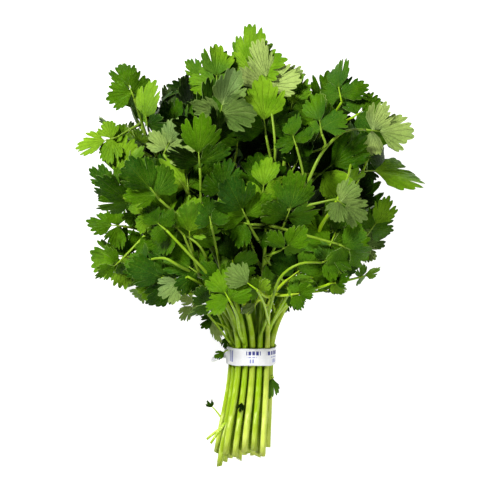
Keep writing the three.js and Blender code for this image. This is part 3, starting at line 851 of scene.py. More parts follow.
def fill_head():
    """Adds leaves to the stems, each in the first of its seeded poses that is clear of all leaflets."""
    for turn in range(FILL["rounds"]):
        share = turn / (FILL["rounds"] - 1)
        for plan in plans:
            keys = (plan["number"], GROUP["fill"] + turn)
            poses = (filling_leaf(plan, (*keys, attempt), share) for attempt in range(FILL["tries"]))
            pose = take_clearest(pose for pose in poses if in_head(np.concatenate(pose["points"])))
            if pose:
                place(plan, pose, {"branch": pose["branch"], "rib": pose["rib"], "thin": FILL["thin"]})


def nearest_stem(spot):
    """The stem that comes nearest to a spot past the tie, and the point of it that is nearest."""
    found, least = None, math.inf
    for plan in plans:
        for step in range(STEM_STOPS + 1):
            point = bezier_point(plan["upper"], lerp(STEM_FROM, 1, step / STEM_STOPS))
            if (point - spot).length < least:
                found, least = (plan, point), (point - spot).length
    return found


def place_on_branch(pose, back, dip, thin):
    """Takes a leaf into the plan of the nearest stem, with a branch from there to the leaf's foot."""
    end = pose["blade"]["foot"]
    plan, foot = nearest_stem(end - pose["blade"]["aim"] * back)
    middle = foot.lerp(end, BRANCH_MIDDLE) - UP * dip
    branch = {"foot": foot, "middle": middle, "end": end}
    place(plan, pose, {"branch": branch, "rib": pose["rib"], "thin": thin})


def path_through(spots, steps):
    """A smooth path through spots."""
    path = [spots[0]]
    for i in range(len(spots) - 1):
        a, b = spots[i], spots[i + 1]
        before, after = spots[max(i - 1, 0)], spots[min(i + 2, len(spots) - 1)]
        lead, trail = a + (b - before) / 6, b - (after - a) / 6
        path += [bezier_point((a, lead, trail, b), (k + 1) / steps) for k in range(steps)]
    return path


def leaf_standing_out(index, lift, start, stop, tone, broad=1, looks="", *_):
    """One of the leaves that stand out, moved up by a lift."""
    keys = (GROUP["standing"] + index, 0)
    flat = start[2] < FLAT_BELOW
    foot, tip = (Vector(end) + UP * (0 if flat else lift) for end in (start, stop))
    aim = (tip - foot).normalized()
    face = squared_to(UP + outward(tip) * STANDING["outward"], aim)
    if not flat:
        face = turned(face, aim, between(*STANDING["turn"], *keys, OWN_KEY["turn"]))
    blade = {
        "foot": foot, "aim": aim, "face": face, "width": 1, "length": (tip - foot).length,
        "fold": STANDING["bend"], "droop": STANDING["bend"], "sag": [STANDING["sag"]] * 2,
    }
    leaflets, rib = leaf_on(blade, keys, STANDING["flat_curl" if flat else "curl"])
    leaflets[0]["width"] *= broad
    if "alone" in looks:
        leaflets, rib = leaflets[:1], rib[:1] + rib[2:]
    if "under" in looks:
        turn_over(leaflets)
    return leaf_pose(blade, leaflets, rib, tone)


def stand_out():
    """Adds the leaves that stand out, each moved up or down to where it meets the fewest others."""
    for index, row in enumerate(STANDING_OUT):
        pose = take_clearest((leaf_standing_out(index, lift, *row) for lift in LIFTS), most=3)
        if len(row) < 6:
            place_on_branch(pose, STANDING["back"], STANDING["dip"], STANDING["thin"])
            continue
        radius, *past = row[5:]
        ends = [pose["blade"]["foot"]] + [Vector(spot) for spot in past]
        plan, foot = nearest_stem(ends[-1] + (ends[-1] - ends[-2]) * STANDING["stalk_past"])
        path = path_through(ends + [foot], STANDING["stalk_steps"])
        taken.append(stalk_surface(path, radius))
        shoot = {"shoot": path, "radii": (BRANCH["tip"], radius)}
        place(plan, pose, shoot, {"rib": pose["rib"], "thin": STANDING["thin"]})


def ground_leaf(spot, keys):
    """A low leaf near a spot: one seeded pose of it."""

    def varied(name, key):
        return between(*GROUND[name], *keys, OWN_KEY[key])

    height = varied("heights", "low_height")
    shift = Vector((varied("shift", "low_x"), varied("shift", "low_y"), height))
    away = math.degrees(math.atan2(spot[0], max(spot[1] - GROUND["fans_from"], 1)))
    heading = turned(Vector((0, 1, 0)), UP, varied("yaw", "low_yaw") - away)
    aim = (heading + UP * varied("pitch", "low_pitch")).normalized()
    length = varied("length", "low_length")
    blade = {
        "foot": Vector((*spot, 0)) + shift - heading * (length / 2), "aim": aim, "length": length, "width": 1,
        "face": turned(squared_to(UP, aim), aim, varied("turn", "low_turn")), "fold": 0,
        "droop": GROUND["bend"], "sag": [GROUND["bend"]] * 2,
    }
    # The low leaves take the lowest tone: painted shade.
    return leaf_pose(blade, *leaf_on(blade, keys, GROUND["curl"]), GROUND["tone"])


def fill_ground():
    """Adds the low leaves, each in the first of its seeded poses that is clear of all leaflets."""
    wide, deep = GROUND["reach"]
    count = math.ceil(wide / GROUND["step"])
    for row in range(-count, count + 1):
        for column in range(-count, count + 1):
            x, y = column * GROUND["step"], row * GROUND["step"]
            if (x / wide) ** 2 + (y / deep) ** 2 > 1:
                continue
            spot = (x, y + HEAD_CENTRE.y)
            keys = (GROUP["ground_row"] + row, GROUP["ground_column"] + column)
            pose = take_clearest(ground_leaf(spot, (*keys, attempt)) for attempt in range(GROUND["tries"]))
            if pose:
                place_on_branch(pose, GROUND["back"], 0, GROUND["thin"])


RIM_LEVEL = 0.35  # how far a frame's leaf is turned to the level
CURL = {"resting": 0.25, "free": 0.8}
# Leaves that are smaller than the frame's: the stem, which of its leaves, and the share of the size.
SMALLER = {
    (16, 0): 0.62, (16, 1): 0.45, (4, 1): 0.68, (21, 1): 0.5, (22, 1): 0.45, (10, 1): 0.6, (27, 1): 0.65,
    (6, 2): 0.75, (15, 1): 0.75, (20, 0): 0.66, (27, 2): 0.62, (7, 0): 0.84,
}


def dress(plan):
    """Gives a plan its limbs and leaflets, along the frame's own branches and blades."""
    number = plan["number"]
    plan["limbs"], plan["leaflets"] = [], []
    for index, spray in enumerate([{"blade": plan["blade"]}] + plan["sprays"]):
        blade = dict(spray["blade"])
        blade["length"] *= SMALLER.get((number, index), 1)
        curl = CURL["resting" if plan["rests"] and index == 0 else "free"]
        leaflets, rib = leaf_on(blade, (number, GROUP["frame"] + index), curl)
        plan["leaflets"] += leaflets
        limb = {"rib": rib, "thin": 1}
        if "branch" in spray:
            limb["branch"] = spray["branch"]
        plan["limbs"].append(limb)
    for leaflet in plan["leaflets"]:
        leaflet["face"] = squared_to(leaflet["face"] + UP * RIM_LEVEL, leaflet["aim"])
    plan["points"] = [leaflet_points(leaflet) for leaflet in plan["leaflets"]]
    taken.extend(surface_of(points) for points in plan["points"])


# ---- Side shoots -------------------------------------------------------------------------------------

# Single leaflets low down: the stem, the part of it below or above the tie, how far along that, where the
# leaflet's foot is from there, its reach, its breadth, its tone and whether it shows its underside.
LOW_LEAFLETS = [
    (24, "lower", 0.52, (0, 0, 2.6), (-1.5, -7, 0.6), 0.8, 0.0, False),
    # This hanging leaflet lies in the head's shade; its full tone is painted light that makes it look pale.
    (18, "upper", 0.14, (-19, 10, 2), (6, -16, -1), 0.55, 1.0, True),
    (11, "upper", 0.06, (-3, 5, 6), (-1, -9, 1), 0.8, 0.1, False),
    (11, "upper", 0.02, (-5, -1, 9), (-8, -4, -1), 0.8, 0.7, False),
]
LOW = {"curl": 0.6, "stalk": (0.8, 0.5), "steps": 4, "bend": Vector((0, 1, 0))}
TWIG = {"steps": 5, "bend": Vector((0, 0.8, 0))}
WITHERED = {"turns": (-42, 4, 38), "length": 6.5, "looks": (0.1, 0.42, 1.8), "stalk": (0.9, 0.45)}
SMALL_LEAF = {"reach": Vector((-2, -15, 0)), "looks": (0.65, 0.95, 0.5)}


def single_leaflet(foot, reach, keys, tone, broad, curl):
    aim = reach.normalized()
    return {
        "foot": foot, "aim": aim, "face": squared_to(Vector((0.1, 0, 1)), aim), "length": reach.length,
        "width": broad, "bend": bend_of(keys, curl), "keys": keys, "tone": tone,
    }


def add_shoots():
    """The shoots below the tie (a withered sprig, two cut short and a small leaf) and the low leaflets."""
    for shoot in SHOOTS:
        plan = plans[shoot["stem"]]
        foot = bezier_point(plan["lower"], shoot["at"] + shoot["moved"])
        end = foot + Vector(shoot["reach"]) * shoot["share"]
        twig = smooth_path(foot, foot.lerp(end, 0.5) + TWIG["bend"], end, TWIG["steps"])
        radii = (SHOOT["foot"], SHOOT["tip"])
        leaflets = []
        if shoot["looks"] == "withered":
            radii = WITHERED["stalk"]
            for part, yaw in enumerate(WITHERED["turns"]):
                reach = turned(end - foot, UP, yaw).normalized() * WITHERED["length"]
                leaflets.append(single_leaflet(end, reach, (GROUP["withered"], part), *WITHERED["looks"]))
        elif shoot["looks"] == "leaf":
            leaflets = [single_leaflet(end, SMALL_LEAF["reach"], (GROUP["small"], 0), *SMALL_LEAF["looks"])]
        place(plan, leaf_pose(None, leaflets, None), {"shoot": twig, "radii": radii})
    for index, (stem, part, at, from_stem, reach, broad, tone, under) in enumerate(LOW_LEAFLETS):
        on_stem = bezier_point(plans[stem][part], at)
        foot = on_stem + Vector(from_stem)
        keys = (GROUP["low"] + index, 0)
        leaflets = [single_leaflet(foot, Vector(reach), keys, tone, broad, LOW["curl"])]
        if under:
            turn_over(leaflets)
        limbs = []
        if part == "upper":
            stalk = smooth_path(on_stem, on_stem.lerp(foot, 0.5) + LOW["bend"], foot, LOW["steps"])
            limbs.append({"shoot": stalk, "radii": LOW["stalk"]})
        place(plans[stem], leaf_pose(None, leaflets, None), *limbs)


# ---- Pieces ----------------------------------------------------------------------------------------

MESH_SHIFT = np.array(TO_MIDDLE)
# Leaflet tones: a seeded spread, painted light that brightens leaflets towards the head's rim and darkens
# those nearer its middle, and painted shade that darkens those deep inside it.
TONES = {
    "near": (-0.12, 0.12), "own": (0.0, 0.8), "painted_light_per_rim": 0.4, "painted_light_rim_from": 0.5, "painted_shade_per_depth": 2.2,
    "painted_shade_depth_from": 0.86,
}
TONE_REACH = (112, 104, 60)  # how far out and up from the head's middle the painted rim light and the painted depth shade are measured


def to_frame(points):
    """Points in millimetres, brought into the frame, in metres."""
    return (np.asarray(points, float) + MESH_SHIFT) * MM


def add_piece(name, mesh, slot, materials, *nodes):
    piece = in_scene(name, mesh)
    for material in materials:
        mesh.materials.append(material)
    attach(piece, "root")
    if nodes:
        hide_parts(*nodes)
    return piece


def thicken(piece, thick, offset, second=0):
    """Gives a piece its thickness. Its second side and its rim have the material of that number."""
    wall = piece.modifiers.new("thickness", "SOLIDIFY")
    wall.thickness = thick * MM
    wall.offset = offset
    wall.material_offset = second
    wall.material_offset_rim = second


def give_tones(mesh, tones):
    """Gives a mesh its tones, one for each point."""
    tone = mesh.attributes.new("tone", "FLOAT", "POINT")
    tone.data.foreach_set("value", np.asarray(tones, np.float32))


def leaflets_mesh(name, all_points, tones):
    """One mesh of many leaflets, each with its own tone."""
    made = bmesh.new()
    for _ in all_points:
        made.from_mesh(FAN)
    mesh = finished(made, bpy.data.meshes.new(name))
    mesh.vertices.foreach_set("co", to_frame(np.concatenate(all_points)).ravel())
    give_tones(mesh, np.repeat(tones, len(FAN_AT)))
    mesh.update()
    return mesh


def tone_of(leaflet, points):
    """How bright and yellow a leaflet is, from 0 to 1: a seeded draw, with painted light that raises it
    towards the head's rim and painted shade that lowers it deep inside the head.
    """
    near = between(*TONES["near"], *leaflet["keys"], OWN_KEY["near_tone"])
    if "tone" in leaflet:
        return clamp(leaflet["tone"] + near, 0, 1)
    x, y, z = (points.mean(axis=0) - np.array(HEAD_CENTRE)) / TONE_REACH
    rim = math.hypot(x, y)
    depth = max(0, TONES["painted_shade_depth_from"] - math.hypot(rim, z))
    own = between(*TONES["own"], *leaflet["keys"][:3], OWN_KEY["leaf_tone"])
    # The rim term is painted light, brighter outward and darker inward, and the depth term is painted shade.
    return clamp(own + near + TONES["painted_light_per_rim"] * (rim - TONES["painted_light_rim_from"]) - TONES["painted_shade_per_depth"] * depth, 0, 1)


def add_leaflets(plan):
    name = f"leaflets_{plan['number'] + 1:02d}"
    tones = [tone_of(leaflet, points) for leaflet, points in zip(plan["leaflets"], plan["points"])]
    mesh = leaflets_mesh(name, plan["points"], tones)
    piece = add_piece(name, mesh, "leafy_stem", [LEAF_UPPER, LEAF_UNDER], node_name(plan["number"]))
    thicken(piece, LEAF_THICK, -1, 1)


# ---- Stalks ----------------------------------------------------------------------------------------

STALK = {
    "lower": 8, "upper": 30, "branch": 7, "past_cut": (0, 4), "slant": 0.45, "pith": 0.4, "sunk": 0.12,
    "clear": 1.1, "collar": 1.25, "rib": (1.02, 0.4),
}
PROFILE = {"points": 12, "ribs": 0.045}  # a stalk's section: a ring of points, in and out by turns


def curve_points(curve, steps):
    return [bezier_point(curve, i / steps) for i in range(steps + 1)]


def stalk_radius(plan, t):
    """The stem's radius at a share t of its upper curve."""
    fork = plan["fork"]
    if t < fork:
        return lerp(STEM["tie"], STEM["fork"], t / fork) * plan["girth"]
    done = (t - fork) / (1 - fork)
    past = STEM["past_fork"]
    share = lerp(0, past, done * 2) if done < 0.5 else lerp(past, 1, done * 2 - 1)
    return lerp(STEM["fork"], STEM["tip"], share) * lerp(plan["girth"], 1, done)


def smooth_path(a, b, c, steps):
    """A curve from a through b to c."""
    handle = b * 2 - (a + c) * 0.5
    return [a.lerp(handle, t).lerp(handle.lerp(c, t), t) for t in (i / steps for i in range(steps + 1))]


def add_spline(curve, places, radii, closed=False):
    spline = curve.splines.new("POLY")
    spline.points.add(len(places) - 1)
    spline.use_cyclic_u = closed
    for point, at, radius in zip(spline.points, places, radii):
        point.co = (*at, 1)
        point.radius = radius


def curve_object(name, dimensions):
    curve = bpy.data.curves.new(name, "CURVE")
    curve.dimensions = dimensions
    return in_scene(name, curve)


def tubes_mesh(name, tubes):
    """One mesh of ribbed tubes, each a path with a radius at each point."""
    section = curve_object("section", "2D")
    count = PROFILE["points"]
    ring = []
    for i in range(count):
        radius = 1 + (PROFILE["ribs"] if i % 2 else -PROFILE["ribs"])
        angle = 2 * math.pi * i / count
        ring.append((radius * math.cos(angle), radius * math.sin(angle), 0))
    add_spline(section.data, ring, [1] * count, closed=True)
    holder = curve_object(name, "3D")
    holder.data.bevel_mode = "OBJECT"
    holder.data.bevel_object = section
    for path, radii in tubes:
        add_spline(holder.data, to_frame(path), [radius * MM for radius in radii])
    bpy.context.view_layer.update()
    mesh = bpy.data.meshes.new_from_object(holder.evaluated_get(bpy.context.evaluated_depsgraph_get()))
    for done in (holder, section):
        curve = done.data
        bpy.data.objects.remove(done)
        bpy.data.curves.remove(curve)
    mesh.name = name
    made = bmesh.new()
    made.from_mesh(mesh)
    bmesh.ops.holes_fill(made, edges=[e for e in made.edges if e.is_boundary])
    bmesh.ops.recalc_face_normals(made, faces=made.faces)
    for f in made.faces:
        f.smooth = len(f.verts) == 4
    return finished(made, mesh)


def above_floor(path, radii):
    """A path raised wherever a tube of those radii would reach into the floor."""
    return [Vector((p.x, p.y, max(p.z, radius * STALK["clear"]))) for p, radius in zip(path, radii)]


def stem_tubes(plan):
    """The stem, its branches and the ribs of its leaves, as paths with radii."""
    number = plan["number"]
    lower = curve_points(plan["lower"], STALK["lower"])
    back = (lower[0] - lower[1]).normalized()
    lower[0] = lower[0] + back * between(*STALK["past_cut"], number, OWN_KEY["past_cut"])
    upper = curve_points(plan["upper"], STALK["upper"])[1:]
    girth = plan["girth"]
    radii = [lerp(STEM["cut"], STEM["tie"], i / STALK["lower"]) * girth for i in range(len(lower))]
    radii += [stalk_radius(plan, (i + 1) / STALK["upper"]) for i in range(len(upper))]
    tubes = [(lower + upper, radii)]
    for limb in plan["limbs"]:
        if "shoot" in limb:
            thick, thin = limb["radii"]
            last = len(limb["shoot"]) - 1
            tubes.append((limb["shoot"], [lerp(thick, thin, i / last) for i in range(last + 1)]))
            continue
        thin = limb["thin"]
        tip = BRANCH["tip"] * thin
        if "branch" in limb:
            branch = limb["branch"]
            path = smooth_path(branch["foot"], branch["middle"], branch["end"], STALK["branch"])
            radii = [lerp(BRANCH["foot"] * thin, tip, i / STALK["branch"]) for i in range(len(path))]
            radii[0] *= STALK["collar"]
            tubes.append((path, radii))
        rib = [Vector((p.x, p.y, max(p.z, LEAST_HEIGHT + tip))) for p in limb["rib"]]
        first, last = (tip * share for share in STALK["rib"])
        tubes.append((rib, np.interp(np.linspace(0, 1, len(rib)), (0, 1), (first, last)).tolist()))
    return [(above_floor(path, radii), radii) for path, radii in tubes]


def finish_cut(mesh, plan):
    """Slants the stem's cut end a little, and sinks its pale pith."""
    number = plan["number"]
    made = bmesh.new()
    made.from_mesh(mesh)
    end = Vector(to_frame(plan["lower"][0]))
    way = bezier_way(plan["lower"], 0)
    caps = [f for f in made.faces if len(f.verts) > 4]
    cap = min(caps, key=lambda f: (f.calc_center_median() - end).length)
    centre = cap.calc_center_median()
    x, z = (between(-1, 1, number, OWN_KEY[key]) for key in ("slant_x", "slant_z"))
    slant = Vector((x, 0, z)) * STALK["slant"]
    for v in cap.verts:
        v.co += way * (v.co - centre).dot(slant)
    bmesh.ops.inset_individual(made, faces=[cap], thickness=STALK["pith"] * MM, depth=-STALK["sunk"] * MM)
    cap.material_index = 1
    finished(made, mesh)


def add_stalk(plan):
    name = f"stalk_{plan['number'] + 1:02d}"
    mesh = tubes_mesh(name, stem_tubes(plan))
    add_piece(name, mesh, "leafy_stem", [STALK_SKIN, STALK_CUT], node_name(plan["number"]))
    finish_cut(mesh, plan)
    own = between(-1, 1, plan["number"], OWN_KEY["stalk_tone"])
    give_tones(mesh, np.full(len(mesh.vertices), own))


# ---- Twist tie ---------------------------------------------------------------------------------------

# A strip of paper over two wires. Its middle runs round the bundle and its ends are twisted together.
STRIP = {
    "half": 6.3, "thick": 0.4, "rows": 120, "across": 12, "from_stems": 1.85, "corners": 32, "seam_gap": 1.6,
    "wire_at": 0.8, "wire": 0.34, "wire_wide": 0.075, "slack": 0.16, "slack_wave": 0.9, "flare": 0.3,
    "flare_wave": 0.21,
}
TWIST = {
    "rows": 26, "half": 2.3, "taper": 0.25, "turns": 1.7, "apart": 0.75, "folds": 0.55, "past": 1.12,
    "along": 20,
}


def bundle_reach(angle):
    """How far the stems reach from the middle of the tie in the direction of an angle."""
    reaches = [plan["across"] * math.cos(angle) + plan["rise"] * math.sin(angle) for plan in plans]
    return max(reaches) + STEM["tie"] * STEM["thick"]


def strip_outline():
    """The loop that the strip's middle follows: points by equal steps, starting at its left."""
    turn = 2 * math.pi / STRIP["corners"]
    corners = []
    for k in range(STRIP["corners"] + 1):
        first, second = k * turn + math.pi, (k + 1) * turn + math.pi
        a, b = (bundle_reach(angle) + STRIP["from_stems"] for angle in (first, second))
        corners.append((
            (a * math.sin(second) - b * math.sin(first)) / math.sin(turn),
            (b * math.cos(first) - a * math.cos(second)) / math.sin(turn),
        ))
    corners = np.array(corners)
    lengths = np.concatenate(([0], np.cumsum(np.hypot(*np.diff(corners, axis=0).T))))
    rows = np.linspace(STRIP["seam_gap"], lengths[-1] - STRIP["seam_gap"], STRIP["rows"])
    points = np.stack([np.interp(rows, lengths, corners[:, i]) for i in (0, 1)], axis=1)
    for _ in range(2):
        points[1:-1] = (points[:-2] + 2 * points[1:-1] + points[2:]) / 4
    return points, rows


def strip_loop(way, up):
    """The strip's rows round the bundle: each one's middle, half width, outward way and place along it."""
    points, lengths = strip_outline()
    rows = []
    for i, (x, z) in enumerate(points):
        ahead = points[min(i + 1, len(points) - 1)] - points[max(i - 1, 0)]
        tangent = (Vector((1, 0, 0)) * ahead[0] + up * ahead[1]).normalized()
        rows.append({
            "at": TIE_AT + Vector((1, 0, 0)) * x + up * z, "half": way * STRIP["half"],
            "out": tangent.cross(way).normalized(), "along": lengths[i], "folds": 0.0,
        })
    return rows


def strip_twist(way, side):
    """The rows of one twisted end, from the band outwards. The two ends lie on two sides of its axis."""
    reach = TAIL["reach"] * TWIST["past"]
    tail_way = reach.normalized()
    across = squared_to(way, tail_way)
    through = tail_way.cross(across)
    rows = []
    for i in range(TWIST["rows"]):
        t = (i + 1) / TWIST["rows"]
        angle = math.degrees(2 * math.pi * TWIST["turns"] * t * t)
        half = turned(across, tail_way, angle) * (TWIST["half"] * (1 - TWIST["taper"] * t))
        out = turned(through, tail_way, angle) * side
        rows.append({
            "at": TAIL["at"] + reach * t + out * (TWIST["apart"] * 0.5), "half": half, "out": out,
            "along": TWIST["along"] * t * side, "folds": TWIST["folds"],
        })
    return rows


def strip_rows():
    way = Vector((0, 1, BUNDLE_RISE)).normalized()
    up = Vector((1, 0, 0)).cross(way)
    loop = strip_loop(way, up)
    start, stop = strip_twist(way, 1), strip_twist(way, -1)
    if (start[0]["at"] - loop[0]["at"]).length > (stop[0]["at"] - loop[0]["at"]).length:
        start, stop = stop, start
    return list(reversed(start)) + loop + stop


def strip_mesh():
    rows = strip_rows()
    made = bmesh.new()
    bmesh.ops.create_grid(made, x_segments=len(rows) - 1, y_segments=STRIP["across"], size=1)
    for f in made.faces:
        f.smooth = True
    mesh = finished(made, bpy.data.meshes.new("tie_strip"))
    grid = np.array([v.co for v in mesh.vertices])
    row_of = np.rint((grid[:, 0] + 1) / 2 * (len(rows) - 1)).astype(int)
    spot_of = np.rint((grid[:, 1] + 1) / 2 * STRIP["across"]).astype(int)
    share = np.linspace(-1, 1, STRIP["across"] + 1)
    ridge = STRIP["wire"] * np.exp(-(((np.abs(share) - STRIP["wire_at"]) / STRIP["wire_wide"]) ** 2))
    points, marks = [], []
    for row in rows:
        slack = STRIP["slack"] * math.sin(row["along"] * STRIP["slack_wave"])
        slack = slack + STRIP["flare"] * math.sin(row["along"] * STRIP["flare_wave"]) * share**3
        lift = ridge + (slack if row["folds"] == 0 else 0) + row["folds"] * np.cos(3 * math.pi * share)
        points.append(np.array(row["at"]) + np.outer(share, row["half"]) + np.outer(lift, row["out"]))
        marks.append(np.stack([np.full(len(share), row["along"] / 100), (share + 1) / 2], axis=1))
    mesh.vertices.foreach_set("co", to_frame(np.array(points)[row_of, spot_of]).ravel())
    uv = mesh.uv_layers.new(name="strip")
    corners = np.empty(len(mesh.loops), np.int32)
    mesh.loops.foreach_get("vertex_index", corners)
    uv.data.foreach_set("uv", np.array(marks)[row_of, spot_of][corners].ravel().astype(np.float32))
    mesh.update()
    return mesh


def add_tie():
    piece = add_piece("tie_strip", strip_mesh(), "tie_paper", [tie_finish()], "twist_tie")
    thicken(piece, STRIP["thick"], 0)


# ---- Materials -------------------------------------------------------------------------------------


class Value:
    """What comes out of a node. Sums, products and the like of numbers add nodes of their own."""

    def __init__(self, finish, socket):
        self.finish = finish
        self.socket = socket

    def __add__(self, other):
        return self.finish.math("ADD", self, other)

    def __sub__(self, other):
        return self.finish.math("SUBTRACT", self, other)

    def __mul__(self, other):
        return self.finish.math("MULTIPLY", self, other)

    def __abs__(self):
        return self.finish.math("ABSOLUTE", self)

    def folded(self, top=0.5):
        """The number run up to a top and back down to 0, over and over."""
        return self.finish.math("PINGPONG", self, top)

    def most(self, *others):
        """The greatest of this number and others."""
        greatest = self
        for other in others:
            greatest = self.finish.math("MAXIMUM", greatest, other)
        return greatest

    def span(self, low, high, start=0.0, stop=1.0):
        """The number moved from one span to another, and held at its ends."""
        inputs = {"Value": self, "From Min": low, "From Max": high, "To Min": start, "To Max": stop}
        return self.finish.add("ShaderNodeMapRange", "Result", inputs)

    def within(self, low, high, soft):
        """1 where the number lies from low to high, with soft edges."""
        return self.span(low - soft, low + soft) * self.span(high - soft, high + soft, 1.0, 0.0)


def colour(red, green, blue):
    """An sRGB colour, 0 to 255, as the linear one that a shader takes."""

    def linear(value):
        value /= 255
        return value / 12.92 if value <= 0.04045 else ((value + 0.055) / 1.055) ** 2.4

    return (linear(red), linear(green), linear(blue), 1.0)


class Finish:
    """A node material. Each call adds a node, joins it and gives what comes out of it."""

    def __init__(self, name):
        self.material = bpy.data.materials.new(name)
        self.material.use_nodes = True
        self.tree = self.material.node_tree
        self.tree.nodes.clear()

    def add(self, kind, output, inputs=None, **settings):
        node = self.tree.nodes.new(kind)
        for key, value in settings.items():
            setattr(node, key, value)
        for key, value in (inputs or {}).items():
            if isinstance(value, Value):
                self.tree.links.new(value.socket, node.inputs[key])
            else:
                node.inputs[key].default_value = value
        return Value(self, node.outputs[output])

    def place(self):
        return self.add("ShaderNodeTexCoord", "Object")

    def uv(self, name):
        return self.add("ShaderNodeUVMap", "UV", uv_map=name)

    def tone(self):
        return self.add("ShaderNodeAttribute", "Fac", attribute_name="tone")

    def math(self, operation, *values):
        return self.add("ShaderNodeMath", 0, dict(enumerate(values)), operation=operation)

    def x_and_y(self, vector):
        x = self.add("ShaderNodeSeparateXYZ", "X", {"Vector": vector})
        return x, Value(self, x.socket.node.outputs["Y"])

    def mix(self, share, first, second):
        return self.add("ShaderNodeMix", 2, {0: share, 6: first, 7: second}, data_type="RGBA")

    def ramp(self, value, stops):
        """Colours along a number: each stop is a place from 0 to 1 and an sRGB colour."""
        shades = self.add("ShaderNodeValToRGB", "Color", {"Fac": value})
        elements = shades.socket.node.color_ramp.elements
        while len(elements) < len(stops):
            elements.new(0.5)
        for element, (at, shade) in zip(elements, stops):
            element.position = at
            element.color = colour(*shade)
        return shades

    def noise(self, vector, scale, detail=3.0, rough=0.5):
        inputs = {"Vector": vector, "Scale": scale, "Detail": detail, "Roughness": rough}
        return self.add("ShaderNodeTexNoise", "Fac", inputs)

    def bump(self, height, strength, distance):
        inputs = {"Height": height, "Strength": strength, "Distance": distance}
        return self.add("ShaderNodeBump", "Normal", inputs)

    def skin(self, base, roughness, **more):
        """A plain surface. Inputs of more than one word are given with low lines between the words."""
        inputs = {key.replace("_", " "): value for key, value in more.items()}
        return self.add("ShaderNodeBsdfPrincipled", 0, {"Base Color": base, "Roughness": roughness, **inputs})

    def done(self, surface):
        """The material, with its surface joined on."""
        out = self.tree.nodes.new("ShaderNodeOutputMaterial")
        self.tree.links.new(surface.socket, out.inputs["Surface"])
        return self.material


def fan_marks(finish):
    """What lies where on a leaflet: its main rib, its other ribs, the swelling between them, and its rim."""
    fan = finish.uv("fan")
    across, ring = finish.x_and_y(fan)
    wander = (finish.noise(fan, 5.0, 2.0) - 0.5) * 0.5
    ray = across * float(RAYS)
    off_ray = (ray + wander * ring).folded()
    width = ring + 0.08
    fine = (off_ray * width).span(0.0, 0.05, 1.0, 0.0)
    main = (abs(ray - MIDDLE_RAY) * width).span(0.0, 0.1, 1.0, 0.0) * ring.span(0.0, 1.0, 1.0, 0.25)
    # Side ribs leave a lobe's own rib at a slant, two or three to each ray.
    side = (ring * 4.5 + off_ray).folded().span(0.0, 0.1, 1.0, 0.0)
    rim = ring.span(0.95, 1.0) * off_ray.span(0.0, 0.14, 1.0, 0.0)
    return main, fine, side, off_ray, rim


# Leaf skin. A noise is its scale, detail and roughness, and a span is as in Value.span.
LEAF_SKIN = {
    "patches": (70.0, 4.0, 0.6), "patchy": 0.7, "lit": (0.05, 0.45, 0.25, 1.0), "cool": (26.0, 2.0),
    "cool_span": (0.5, 0.68, 0.0, 0.55), "net": 800.0, "net_span": (0.0, 0.14, 1.0, 0.0),
    "pucker": (260.0, 3.0, 0.55), "depth": 0.001, "shine": (110.0, 2.0), "shine_varies": (-0.06, 0.08),
    "glow_span": (0.0, 0.8, 0.0, 0.6), "specular": 0.03, "tint": (0.86, 1.0, 0.6, 1.0),
}
# How strongly the marks show, and how high or low each is in the relief.
MARKS = {"main": 0.55, "fine": 0.32, "side": 0.2, "net": 0.14, "rim": 0.7}
HEIGHTS = {"ribs": -0.5, "swell": 0.3, "pucker": 1.0, "side": -0.2}


def leaf_finish(name, look):
    """Leaf skin: a tone for each leaflet, patches, faint ribs, a fine net between, and light through it."""
    finish = Finish(name)
    main, fine, side, swell, rim = fan_marks(finish)
    place = finish.place()
    tone = finish.tone() + (finish.noise(place, *LEAF_SKIN["patches"]) - 0.5) * LEAF_SKIN["patchy"]
    lit_share = tone.span(*LEAF_SKIN["lit"])
    cooler = finish.noise(place, *LEAF_SKIN["cool"]).span(*LEAF_SKIN["cool_span"]) * lit_share
    base = finish.mix(cooler, finish.ramp(tone, look["tones"]), colour(*look["cool"]))
    inputs = {"Vector": place, "Scale": LEAF_SKIN["net"]}
    net = finish.add("ShaderNodeTexVoronoi", "Distance", inputs, feature="DISTANCE_TO_EDGE")
    net = net.span(*LEAF_SKIN["net_span"])
    marks = (main * MARKS["main"]).most(
        fine * MARKS["fine"], side * MARKS["side"], net * MARKS["net"], rim * MARKS["rim"]
    )
    skin = finish.mix(marks * lit_share, base, colour(*look["vein"]))
    pucker = finish.noise(place, *LEAF_SKIN["pucker"])
    height = main.most(fine) * HEIGHTS["ribs"] + swell * HEIGHTS["swell"]
    height = height + pucker * HEIGHTS["pucker"] + side * HEIGHTS["side"]
    relief = finish.bump(height, look["bump"], LEAF_SKIN["depth"])
    least, most = (look["roughness"] + more for more in LEAF_SKIN["shine_varies"])
    shine = finish.noise(place, *LEAF_SKIN["shine"]).span(0.3, 0.7, least, most)
    face = finish.skin(
        skin, shine, Specular_IOR_Level=LEAF_SKIN["specular"], Specular_Tint=LEAF_SKIN["tint"], Normal=relief
    )
    lit = finish.mix(tone.span(*LEAF_SKIN["glow_span"]), skin, colour(*look["glow"]))
    behind = finish.add("ShaderNodeBsdfTranslucent", 0, {"Color": lit, "Normal": relief})
    return finish.done(finish.add("ShaderNodeMixShader", 0, {0: look["through"], 1: face, 2: behind}))


# The stalk's colours. "light" is the colour of the pale streaks, which are painted highlights; "dark" is that
# of the darker streaks.
STALK_LOOK = {
    "tones": ((0.0, (196, 212, 90)), (0.35, (154, 180, 40)), (0.65, (144, 184, 12)), (1.0, (112, 142, 36))),
    "height": (-0.16, 0.05), "patches": (38.0, 2.0), "patchy": 0.7, "own": 0.27,
    "drawn_out": (16.0, 2.5, 1.0), "streaks": (1.0, 4.0, 0.65),
    "light": (236, 246, 160), "dark": (84, 128, 14),
}


